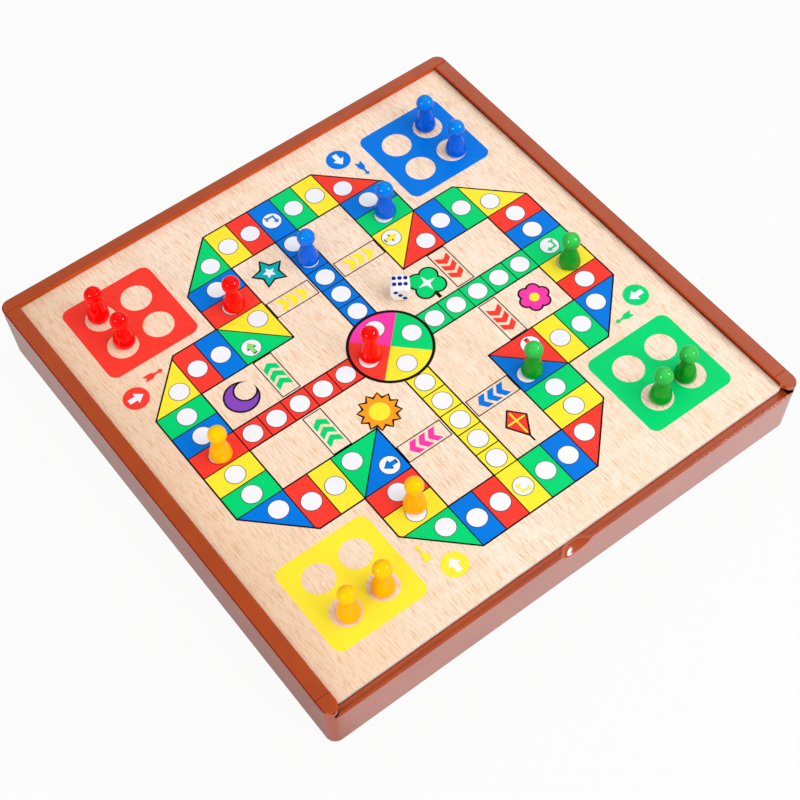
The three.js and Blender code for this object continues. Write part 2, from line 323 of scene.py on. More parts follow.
    def modify(self, kind: str, **settings: object) -> None:
        """Adds a modifier to the piece and applies it.

        Args:
            kind: The modifier's type.
            settings: Its settings.
        """
        self.take()
        bpy.ops.object.modifier_add(type=kind)
        step = self.body.modifiers[-1]
        for name, value in settings.items():
            setattr(step, name, value)
        bpy.ops.object.modifier_apply(modifier=step.name)

    def round_edges(self, test: Test, radius: float, steps: int) -> None:
        """Rounds the edges that pass a test."""
        with self.picked(Pick.EDGES, test):
            bpy.ops.mesh.bevel(offset=radius, segments=steps, profile=0.5, affect="EDGES")

    def move(self, test: Test, step: Point) -> None:
        """Moves the corners that pass a test."""
        with self.picked(Pick.CORNERS, test):
            bpy.ops.transform.translate(value=step)

    def bisect(self, point: Point, normal: Point, clear: bool = True, fill: bool = False) -> None:
        """Cuts the whole piece by a plane, and clears what lies beyond it if asked to."""
        with self.picked(Pick.FACES, everything):
            bpy.ops.mesh.bisect(plane_co=point, plane_no=normal, clear_outer=clear, use_fill=fill)

    def combine(self, how: Combine, *others: "Workpiece") -> None:
        """Joins the piece with others, or cuts it by them."""
        for other in others:
            self.modify("BOOLEAN", object=other.body, operation=how.value, solver="EXACT")
            other.discard()

    def copy(self, place: Matrix = NO_PLACE, name: str = "copy") -> "Workpiece":
        """Copies the piece, with its own mesh, and puts the copy in its place.

        Args:
            place: Where the copy goes.
            name: The copy's name.

        Returns:
            The copy.
        """
        twin = self.body.copy()
        twin.data = self.body.data.copy()
        twin.data.transform(place)
        bpy.context.scene.collection.objects.link(twin)
        return Workpiece(twin, name)

    def join(self, *others: "Workpiece") -> None:
        """Puts other pieces' meshes into this one, as they are.

        Args:
            others: The other pieces, which are used up.
        """
        self.take()
        for other in others:
            other.body.select_set(True)
        bpy.ops.object.join()

    def heal(self) -> None:
        """Merges doubled corners and points all faces outwards."""
        with self.picked(Pick.CORNERS, everything):
            bpy.ops.mesh.select_all(action="SELECT")
            bpy.ops.mesh.remove_doubles(threshold=DOUBLED)
            bpy.ops.mesh.normals_make_consistent(inside=False)

    def smooth(self) -> None:
        """Shades the piece smooth where its faces meet at a small angle, and keeps large faces flat."""
        self.take()
        bpy.ops.object.shade_smooth_by_angle(angle=SMOOTH_ANGLE)
        self.modify("WEIGHTED_NORMAL", keep_sharp=True)

    def keep(self, test: Test) -> None:
        """Keeps only the faces that pass a test."""
        with self.picked(Pick.FACES, lambda place, normal: not test(place, normal)):
            bpy.ops.mesh.delete(type="FACE")

    def keep_top(self) -> None:
        """Keeps only the faces that look up."""
        self.keep(lambda place, normal: normal.z > MOSTLY)

    def finish(self, *materials: bpy.types.Material) -> None:
        """Gives the piece its materials."""
        self.body.data.materials.clear()
        for material in materials:
            self.body.data.materials.append(material)

    def paint(self, test: Test, index: int) -> None:
        """Gives some faces another of the piece's materials."""
        for face in self.body.data.polygons:
            if test(face.center, face.normal):
                face.material_index = index

    def place_in(self, body: str, slot: str, *nodes: str) -> None:
        """Puts the piece into the set.

        Args:
            body: The body that it rides on.
            slot: A material slot's name, which is not used.
            nodes: The solid parts that it stands for.
        """
        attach(self.body, body)
        if nodes:
            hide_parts(*nodes)
        LOG.info("%s rides on %s, %d faces", self.body.name, body, len(self.body.data.polygons))


# Node trees


@dataclass(frozen=True)
class Noise:
    """A soft noise, and how a change follows it.

    The size is that of its spots along X, Y and Z. The change runs from none to its full share between two
    of the noise's values.
    """

    size: Point
    start: float = 0.3
    end: float = 0.7
    share: float = 1.0
    detail: float = 2.0
    seed: float = 0.0


class Wiring:
    """A node tree with the small sums that the finishes and the lights share."""

    def __init__(self, tree: bpy.types.NodeTree) -> None:
        """Takes a tree."""
        self.nodes = tree.nodes
        self.links = tree.links

    def feed(self, socket: Socket, value: float | Colour | Socket) -> None:
        """Links a socket to a source, or sets its own value."""
        if isinstance(value, Socket):
            self.links.new(value, socket)
        else:
            socket.default_value = value

    def span(
        self, source: Socket, start: float, end: float, low: float | Socket, high: float | Socket
    ) -> Socket:
        """Maps a value from one range to another, held at its ends.

        Args:
            source: The value.
            start: Where its range starts.
            end: Where its range ends.
            low: What it becomes at the start.
            high: What it becomes at the end.

        Returns:
            The mapped value.
        """
        node = self.nodes.new("ShaderNodeMapRange")
        names = ("Value", "From Min", "From Max", "To Min", "To Max")
        for name, value in zip(names, (source, start, end, low, high)):
            self.feed(node.inputs[name], value)
        return node.outputs["Result"]

    def reckon(self, operation: str, first: Socket, second: Socket) -> Socket:
        """Makes one value of two.

        Args:
            operation: The sum, such as MULTIPLY or MAXIMUM.
            first: One value.
            second: The other value.

        Returns:
            The result.
        """
        node = self.nodes.new("ShaderNodeMath")
        node.operation = operation
        for socket, value in zip(node.inputs, (first, second)):
            self.links.new(value, socket)
        return node.outputs["Value"]


class Recipe(Wiring):
    """A material's node tree, with the patterns that the finishes share."""

    def __init__(self, name: str) -> None:
        """Starts a material with the main shader alone.

        Args:
            name: The material's name.
        """
        self.material = bpy.data.materials.new(name)
        self.material.use_nodes = True
        super().__init__(self.material.node_tree)
        self.shader = self.nodes["Principled BSDF"]

    def set(self, values: dict[str, float | Colour]) -> None:
        """Sets constant values on the shader's own sockets."""
        for name, value in values.items():
            self.shader.inputs[name].default_value = value

    def drive(self, name: str, source: Socket) -> None:
        """Lets a pattern drive one of the shader's sockets."""
        self.links.new(source, self.shader.inputs[name])

    def place(self, axis: str) -> Socket:
        """Adds a point's place on the piece.

        Args:
            axis: X, Y or Z.

        Returns:
            Where the point lies along that axis, in metres.
        """
        source = self.nodes.new("ShaderNodeTexCoord")
        split = self.nodes.new("ShaderNodeSeparateXYZ")
        self.links.new(source.outputs["Object"], split.inputs["Vector"])
        return split.outputs[axis]

    def pattern(self, noise: Noise) -> Socket:
        """Adds a noise.

        Args:
            noise: Its size, detail and seed.

        Returns:
            The noise as a value around one half.
        """
        place = self.nodes.new("ShaderNodeTexCoord")
        mapping = self.nodes.new("ShaderNodeMapping")
        mapping.inputs["Scale"].default_value = [1 / length for length in noise.size]
        mapping.inputs["Location"].default_value = [noise.seed] * len(noise.size)
        node = self.nodes.new("ShaderNodeTexNoise")
        node.inputs["Scale"].default_value = 1
        node.inputs["Detail"].default_value = noise.detail
        self.links.new(place.outputs["Object"], mapping.inputs["Vector"])
        self.links.new(mapping.outputs["Vector"], node.inputs["Vector"])
        return node.outputs["Fac"]

    def blend(self, share: Socket, first: Colour | Socket, second: Colour | Socket) -> Socket:
        """Mixes two colours.

        Args:
            share: How much of the second one there is.
            first: One colour.
            second: The other colour.

        Returns:
            The mixed colour.
        """
        node = self.nodes.new("ShaderNodeMix")
        node.data_type = "RGBA"
        self.links.new(share, node.inputs["Factor"])
        for name, colour in (("A", first), ("B", second)):
            socket = next(entry for entry in node.inputs if entry.name == name and entry.type == "RGBA")
            self.feed(socket, colour)
        return next(entry for entry in node.outputs if entry.type == "RGBA")

    def tint(
        self, source: Socket, noise: Noise, ground: Colour | Socket, colour: Colour | Socket
    ) -> Socket:
        """Lays a colour over a ground colour, as far as a noise's value says."""
        return self.blend(self.span(source, noise.start, noise.end, 0, noise.share), ground, colour)

    def bump(self, height: Socket, depth: float) -> None:
        """Raises the surface by a pattern.

        Args:
            height: The pattern.
            depth: How deep it goes.
        """
        node = self.nodes.new("ShaderNodeBump")
        node.inputs["Distance"].default_value = depth
        self.links.new(height, node.inputs["Height"])
        self.drive("Normal", node.outputs["Normal"])


# Finishes


@dataclass(frozen=True)
class MouldedPlastic:
    """Glossy moulded plastic with a faint orange-peel skin."""

    name: str
    colour: Colour
    shade: Colour
    roughness: float = 0.24
    gloss: float = 0.5
    coat: float = 0.0
    coat_roughness: float = 0.12
    smoother: float = 0.03
    duller: float = 0.04
    cloud: Noise = Noise((18 * MM,) * 3, detail=4)
    skin: Noise = Noise((0.9 * MM,) * 3, seed=4)
    skin_depth: float = 0.006 * MM

    def colouring(self, recipe: Recipe, cloud: Socket) -> Socket:
        """The colour, which drifts a little in soft clouds."""
        return recipe.tint(cloud, self.cloud, self.colour, self.shade)

    def make(self) -> bpy.types.Material:
        """Builds the material.

        Returns:
            The material.
        """
        recipe = Recipe(self.name)
        recipe.set({
            "Specular IOR Level": self.gloss,
            "Coat Weight": self.coat,
            "Coat Roughness": self.coat_roughness,
        })
        cloud = recipe.pattern(self.cloud)
        recipe.drive("Base Color", self.colouring(recipe, cloud))
        low, high = self.roughness - self.smoother, self.roughness + self.duller
        recipe.drive("Roughness", recipe.span(cloud, self.cloud.start, self.cloud.end, low, high))
        recipe.bump(recipe.pattern(self.skin), self.skin_depth)
        return recipe.material


@dataclass(frozen=True)
class PawnPlastic(MouldedPlastic):
    """Glossy plastic with painted light and shade: its colour shows on top of the head, and its darker shade
    in the body.
    """

    roughness: float = 0.08
    gloss: float = 0.27
    smoother: float = 0.02
    duller: float = 0.03
    cloud: Noise = Noise((7 * MM,) * 3, detail=3)
    skin_depth: float = 0.004 * MM
    foot: float = 0.0
    painted_shade_to: float = 16.5 * MM
    painted_light_from: float = 24 * MM

    def colouring(self, recipe: Recipe, cloud: Socket) -> Socket:
        """The colour, with painted shade that makes it darker below than above."""
        share = recipe.span(recipe.place("Z"), self.foot + self.painted_shade_to, self.foot + self.painted_light_from, 0, 1)
        return recipe.blend(share, self.shade, self.colour)


@dataclass(frozen=True)
class BeechVeneer:
    """Pale printed beech: fine strokes along the board, broad soft bands, and painted shade that makes the
    left side browner.
    """

    name: str
    pale: Colour = linear(252, 229, 210)
    warm: Colour = linear(248, 219, 191)
    # The browner colour of the painted shade on the left side.
    left_shade: Colour = linear(238, 203, 170)
    pore: Colour = linear(222, 168, 116)
    vein: Colour = linear(238, 202, 160)
    bands: Noise = Noise((11 * MM, 110 * MM, 110 * MM), 0.38, 0.66, 0.6, detail=3)
    veins: Noise = Noise((1.6 * MM, 60 * MM, 60 * MM), 0.56, 0.74, 0.24, detail=3, seed=7)
    strokes: Noise = Noise((0.44 * MM, 11 * MM, 11 * MM), 0.57, 0.66, 0.7, detail=1, seed=2)
    fine: Noise = Noise((0.36 * MM, 5 * MM, 5 * MM), 0.56, 0.68, 0.6, detail=1, seed=11)
    left_shade_from: float = -60 * MM
    left_shade_to: float = -140 * MM
    left_shade_share: float = 0.75
    gloss: float = 0.16
    roughness: float = 0.3
    duller: float = 0.12
    dull_from: float = 0.4
    dull_to: float = 0.7
    relief: float = 0.01 * MM

    def make(self) -> bpy.types.Material:
        """Builds the material.

        Returns:
            The material.
        """
        recipe = Recipe(self.name)
        recipe.set({"Specular IOR Level": self.gloss})
        fresh = recipe.tint(recipe.pattern(self.bands), self.bands, self.pale, self.warm)
        # Painted shade: browner towards the left side.
        left_shading = recipe.span(recipe.place("X"), self.left_shade_from, self.left_shade_to, 0, self.left_shade_share)
        ground = recipe.blend(left_shading, fresh, self.left_shade)
        veined = recipe.tint(recipe.pattern(self.veins), self.veins, ground, self.vein)
        strokes = recipe.pattern(self.strokes)
        stroked = recipe.tint(strokes, self.strokes, veined, self.pore)
        recipe.drive("Base Color", recipe.tint(recipe.pattern(self.fine), self.fine, stroked, self.pore))
        dull = self.roughness + self.duller
        recipe.drive("Roughness", recipe.span(strokes, self.dull_from, self.dull_to, self.roughness, dull))
        recipe.bump(strokes, self.relief)
        return recipe.material


@dataclass(frozen=True)
class PrintedInk:
    """A solid printed colour through which the wood's strokes show faintly."""

    name: str
    colour: Colour
    shade: Colour
    strokes: Noise = Noise((0.7 * MM, 8 * MM, 8 * MM), 0.45, 0.75, 0.5, seed=2)
    gloss: float = 0.12
    roughness: float = 0.26
    duller: float = 0.08
    dull_from: float = 0.4
    dull_to: float = 0.7

    def make(self) -> bpy.types.Material:
        """Builds the material.

        Returns:
            The material.
        """
        recipe = Recipe(self.name)
        recipe.set({"Specular IOR Level": self.gloss})
        strokes = recipe.pattern(self.strokes)
        recipe.drive("Base Color", recipe.tint(strokes, self.strokes, self.colour, self.shade))
        dull = self.roughness + self.duller
        recipe.drive("Roughness", recipe.span(strokes, self.dull_from, self.dull_to, self.roughness, dull))
        return recipe.material


@dataclass(frozen=True)
class PressedEdge:
    """The board's bare edge: pale grey pressed fibre."""

    name: str
    pale: Colour = linear(226, 220, 214)
    dark: Colour = linear(196, 186, 176)
    roughness: float = 0.7
    layers: Noise = Noise((6 * MM, 6 * MM, 0.4 * MM), 0.4, 0.65, detail=3)
    fibre: Noise = Noise((0.5 * MM, 0.5 * MM, 0.2 * MM), seed=3)
    relief: float = 0.02 * MM

    def make(self) -> bpy.types.Material:
        """Builds the material.

        Returns:
            The material.
        """
        recipe = Recipe(self.name)
        recipe.set({"Roughness": self.roughness})
        layers = recipe.pattern(self.layers)
        recipe.drive("Base Color", recipe.tint(layers, self.layers, self.pale, self.dark))
        recipe.bump(recipe.pattern(self.fibre), self.relief)
        return recipe.material


class Ink(Enum):
    """The colours of the print, each with its shade."""

    RED = ("red", linear(250, 62, 50), linear(236, 48, 38))
    BLUE = ("blue", linear(0, 120, 224), linear(0, 104, 208))
    GREEN = ("green", linear(0, 212, 114), linear(0, 194, 102))
    YELLOW = ("yellow", linear(253, 232, 56), linear(244, 216, 42))
    PINK = ("pink", linear(250, 60, 168), linear(232, 44, 150))
    BLACK = ("black", linear(24, 16, 16), linear(44, 30, 26))
    WHITE = ("white", linear(240, 240, 247), linear(232, 232, 240))
    LIME = ("lime", linear(140, 220, 110), linear(126, 206, 98), "green")
    TEAL = ("teal", linear(0, 176, 180), linear(0, 160, 166), "blue")
    PURPLE = ("purple", linear(136, 72, 186), linear(122, 60, 172), "pink")
    ORANGE = ("orange", linear(252, 158, 36), linear(244, 144, 26), "yellow")

    def __init__(self, word: str, colour: Colour, shade: Colour, nearest: str = "") -> None:
        """Keeps what is known of the ink.

        Args:
            word: Its word.
            colour: Its colour.
            shade: The colour that it has where a stroke of the wood shows through.
            nearest: The word of the ink whose slot it shares, if it has none of its own.
        """
        self.word = word
        self.colour = colour
        self.shade = shade
        self.slot = f"ink_{nearest or word}"


class InkShelf:
    """Makes each ink's material once."""

    def __init__(self) -> None:
        """Makes all inks."""
        self.jars = {ink: PrintedInk(f"ink_{ink.word}", ink.colour, ink.shade).make() for ink in Ink}

    def __getitem__(self, ink: Ink) -> bpy.types.Material:
        """The material of an ink."""
        return self.jars[ink]


# The print


@dataclass
class Stencil:
    """Flat shapes of one ink that lie at one level, and become one thin printed layer."""

    name: str
    ink: Ink
    level: float
    thickness: float
    shapes: list[Workpiece]

    def spread(self, shape: Workpiece, places: Iterable[Matrix]) -> None:
        """Adds a copy of a shape at each place, and uses up the shape."""
        self.shapes.extend(shape.copy(place) for place in places)
        shape.discard()

    def raise_layer(self, inks: InkShelf, body: str, facing: int = 1) -> None:
        """Joins the shapes and gives them their thickness.

        Args:
            inks: The inks' materials.
            body: The body that the print rides on.
            facing: 1 for a print that is seen from above, and -1 for one on an underside.
        """
        first, *others = self.shapes
        if others:
            first.join(*others)
        layer = Workpiece(first.body, self.name)
        layer.put(Matrix.Translation((0, 0, self.level)))
        with layer.picked(Pick.FACES, lambda place, normal: normal.z * facing < 0):
            bpy.ops.mesh.flip_normals()
        layer.modify("SOLIDIFY", thickness=self.thickness, offset=1)
        layer.finish(inks[self.ink])
        layer.paint(everything, 0)
        layer.place_in(body, self.ink.slot)


def quarter_turns() -> list[Matrix]:
    """The four quarter turns about the board's middle, clockwise from above."""
    return [Matrix.Rotation(-QUARTER * turn, 4, "Z") for turn in range(4)]


def at(across: float, back: float, turn: float = 0) -> Matrix:
    """A place in plan with a turn about the upright axis."""
    return Matrix.Translation((across, back, 0)) @ Matrix.Rotation(turn, 4, "Z")


@dataclass
class RaceGame:
    """The race game that is printed on the board. Its places are counted in track squares from the middle."""

    square: float = 14.4 * MM
    band_start: float = 6.5
    band_end: float = 8.38
    lane_start: float = 2.5
    lane_end: float = 4.5
    chamfer: float = 10.88
    home_half: float = 0.5
    home_start: float = 1.5
    home_cells: int = 5
    line: float = 0.045
    border: float = 0.04
    first_cell_slack: float = math.radians(1)
    disc_column: float = 3.48
    disc_near: float = 3.05
    disc_far: float = 3.97
    disc_corner: float = 7.06
    disc_band: float = 7.43
    disc_middle: float = 0.96
    disc_radius: float = 0.36
    disc_rim: float = 0.022
    disc_sides: int = 40
    middle_radius: float = 1.5
    middle_rim: float = 0.115
    middle_sides: int = 96
    base_centre: float = 6.775
    base_side: float = 3.75
    base_round: float = 0.35
    base_round_steps: int = 8
    base_hole: float = 0.58
    base_hole_sides: int = 56
    base_spacing: float = 0.76
    layer: float = 0.035 * MM

    def length(self, squares: float) -> float:
        """A length in squares as metres."""
        return squares * self.square

    def rectangle(self, x0: float, y0: float, x1: float, y1: float) -> Workpiece:
        """A flat rectangle between two corners that are given in squares."""
        return Workpiece.sheet([self.length(x0), self.length(y0)], [self.length(x1), self.length(y1)])

    def spot(self, place: Point, quarters: float = 0) -> Matrix:
        """A place in squares, with its turn in quarter turns."""
        return at(self.length(place[0]), self.length(place[1]), quarters * QUARTER)

    def spots(self, places: Iterable[Point]) -> list[Matrix]:
        """Places in squares, each at all four quarter turns."""
        return [quarter @ self.spot(place) for quarter in quarter_turns() for place in places]

    def stencil(self, name: str, ink: Ink, layer: int, *shapes: Workpiece) -> Stencil:
        """A stencil with its first shapes, for a layer that is counted from the wood."""
        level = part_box("game_board")[1].z + layer * self.layer
        return Stencil(f"print_{name}", ink, level, self.layer, list(shapes))

    def ring_of_cells(self) -> Workpiece:
        """All cells of the track, with the corners cut and the corner squares split.

        Returns:
            The cells as one flat sheet.
        """
        middle = [step + self.home_half for step in range(-2, 2)]
        edges = [-self.lane_end, -self.lane_start, *middle, self.lane_start, self.lane_end]
        cells = [
            self.rectangle(left, self.band_start, right, self.band_end)
            for left, right in zip(edges, edges[1:])
        ]
        for left, right in ((-self.lane_end, -self.lane_start), (self.lane_start, self.lane_end)):
            for row in (self.lane_end, self.lane_end + 1):
                cells.append(self.rectangle(left, row, right, row + 1))
        cells.append(self.rectangle(self.lane_start, self.lane_start, self.lane_end, self.lane_end))
        arm, *others = cells
        arm.join(*others)
        arm.join(*[arm.copy(turn) for turn in quarter_turns()[1:]])
        self.cut_corners(arm, self.chamfer, fill=False)
        for normal in ((1, 1, 0), (1, -1, 0)):
            arm.bisect((0, 0, 0), normal, clear=False)
        return arm

    def cut_corners(self, piece: Workpiece, reach: float, fill: bool) -> None:
        """Cuts a piece by the four slanted outlines of the track."""
        for turn in quarter_turns():
            normal = turn @ Vector((1, 1, 0))
            piece.bisect(normal * self.length(reach / 2), normal, fill=fill)

    def colour_cells(self, ring: Workpiece) -> list[Ink]:
        """Colours the cells in turn, clockwise from the first one left of the top arm.

        Args:
            ring: The sheet of cells.

        Returns:
            The inks in the order of the cells' material numbers.
        """
        order = [Ink.RED, Ink.BLUE, Ink.GREEN, Ink.YELLOW]
        start = math.atan2(self.lane_end + self.home_half, -self.lane_start - 1) + self.first_cell_slack
        faces = sorted(
            ring.body.data.polygons,
            key=lambda face: (start - math.atan2(face.center.y, face.center.x)) % math.tau,
        )
        for _ink in order:
            ring.body.data.materials.append(None)
        for number, face in enumerate(faces):
            face.material_index = number % len(order)
        return order

    def shrink_cells(self, cells: Workpiece) -> None:
        """Draws each cell in by half a line, so that the black ground shows between them."""
        with cells.picked(Pick.FACES, everything):
            bpy.ops.mesh.inset(thickness=self.length(self.line / 2), use_individual=True)
            bpy.ops.mesh.select_all(action="INVERT")
            bpy.ops.mesh.delete(type="FACE")

    def print_cells(self) -> list[Stencil]:
        """Prints the coloured cells of the track and of the four home lanes.

        Returns:
            One stencil for each colour.
        """
        ring = self.ring_of_cells()
        order = self.colour_cells(ring)
        self.shrink_cells(ring)
        stencils = {}
        for number, ink in enumerate(order):
            cells = ring.copy()
            mine = [face.center.copy() for face in ring.body.data.polygons if face.material_index == number]
            cells.keep(lambda place, normal: min((place - centre).length for centre in mine) < MM)
            stencils[ink] = self.stencil(f"cells_{ink.word}", ink, 1, cells)
        ring.discard()
        for turn, ink in zip(quarter_turns(), (Ink.BLUE, Ink.GREEN, Ink.YELLOW, Ink.RED)):
            lane = self.rectangle(-self.home_half, self.home_start, self.home_half, self.home_start + 1)
            self.shrink_cells(lane)
            stencils[ink].spread(lane, [turn @ self.spot((0, step)) for step in range(self.home_cells)])
        return list(stencils.values())

    def print_ground(self) -> Stencil:
        """Prints the black ground under the cells, which shows as the lines between and around them.

        Returns:
            Its stencil.
        """
        spans = [
            (-self.lane_end, self.band_start, self.lane_end, self.band_end),
            (self.lane_start, self.lane_start, self.lane_end, self.band_start),
            (-self.lane_end, self.lane_start, -self.lane_start, self.band_start),
            (-self.home_half, 0, self.home_half, self.band_start),
        ]
        blocks = []
        for x0, y0, x1, y1 in spans:
            low = [self.length(x0 - self.border), self.length(y0 - self.border), -OVERRUN]
            high = [self.length(x1 + self.border), self.length(y1 + self.border), 0]
            block = Workpiece.block("ground", low, high)
            blocks += [block, *[block.copy(turn) for turn in quarter_turns()[1:]]]
        ground, *others = blocks
        ground.combine(Combine.ADD, *others)
        self.cut_corners(ground, self.chamfer + self.border * math.sqrt(2), fill=True)
        ground.heal()
        ground.keep_top()
        return self.stencil("lines", Ink.BLACK, 0, ground)

    def disc_places(self) -> list[Matrix]:
        """Finds where the white discs lie: on each track cell, along the home lanes and on the middle disc.

        Returns:
            Their places.
        """
        side, near, far, corner = self.disc_column, self.disc_near, self.disc_far, self.disc_corner
        rows = (self.lane_end + self.home_half, self.lane_end + self.home_half + 1)
        points = [*[(-side, row) for row in rows], (-near, corner)]
        points += [(column, self.disc_band) for column in range(-2, 3)]
        points += [(near, corner), *[(side, row) for row in reversed(rows)], (near, far), (far, near)]
        points += [(0, self.home_start + self.home_half + step) for step in range(self.home_cells)]
        return self.spots([*points, (0, self.disc_middle)])

    def print_discs(self) -> list[Stencil]:
        """Prints the white discs with their thin dark rims.

        Returns:
            The rims' stencil and the discs' stencil.
        """
        rims = self.stencil("disc_rims", Ink.BLACK, 3)
        whites = self.stencil("discs", Ink.WHITE, 4)
        radius, rim = self.length(self.disc_radius), self.length(self.disc_rim)
        places = self.disc_places()
        rims.spread(Workpiece.disc(radius + rim, (0, 0), self.disc_sides), places)
        whites.spread(Workpiece.disc(radius, (0, 0), self.disc_sides), places)
        return [rims, whites]

    def print_middle(self) -> list[Stencil]:
        """Prints the middle disc with its four coloured sectors and thick rim.

        Returns:
            The rim's stencil and one for each sector.
        """
        radius = self.length(self.middle_radius)
        rim = Workpiece.disc(radius + self.length(self.middle_rim), (0, 0), self.middle_sides)
        stencils = [self.stencil("middle_rim", Ink.BLACK, 2, rim)]
        sector = Workpiece.disc(radius, (0, 0), self.middle_sides)
        for normal in ((1, -1, 0), (-1, -1, 0)):
            sector.bisect((0, 0, 0), normal)
        for turn, ink in zip(quarter_turns(), (Ink.PINK, Ink.GREEN, Ink.YELLOW, Ink.RED)):
            stencils.append(self.stencil(f"middle_{ink.word}", ink, 3, sector.copy(turn)))
        sector.discard()
        return stencils

    def print_bases(self) -> list[Stencil]:
        """Prints the four bases: rounded squares with four holes through which the wood shows.

        Returns:
            One stencil for each base.
        """
        half = self.length(self.base_side / 2)
        base = Workpiece.block("base", (-half, -half, -OVERRUN), (half, half, 0))
        base.round_edges(upright, self.length(self.base_round), self.base_round_steps)
        for x, y in ((-1, -1), (-1, 1), (1, -1), (1, 1)):
            centre = (self.length(self.base_spacing * x), self.length(self.base_spacing * y))
            base.combine(Combine.CUT, Workpiece.bar(
                "hole", self.length(self.base_hole), centre, -OVERRUN * 2, OVERRUN, self.base_hole_sides
            ))
        base.keep_top()
        stencils = []
        corner = self.base_centre
        places = ((-corner, corner), (corner, corner), (corner, -corner), (-corner, -corner))
        for place, ink in zip(places, (Ink.RED, Ink.BLUE, Ink.GREEN, Ink.YELLOW)):
            stencils.append(self.stencil(f"base_{ink.word}", ink, 0, base.copy(self.spot(place))))
        base.discard()
        return stencils


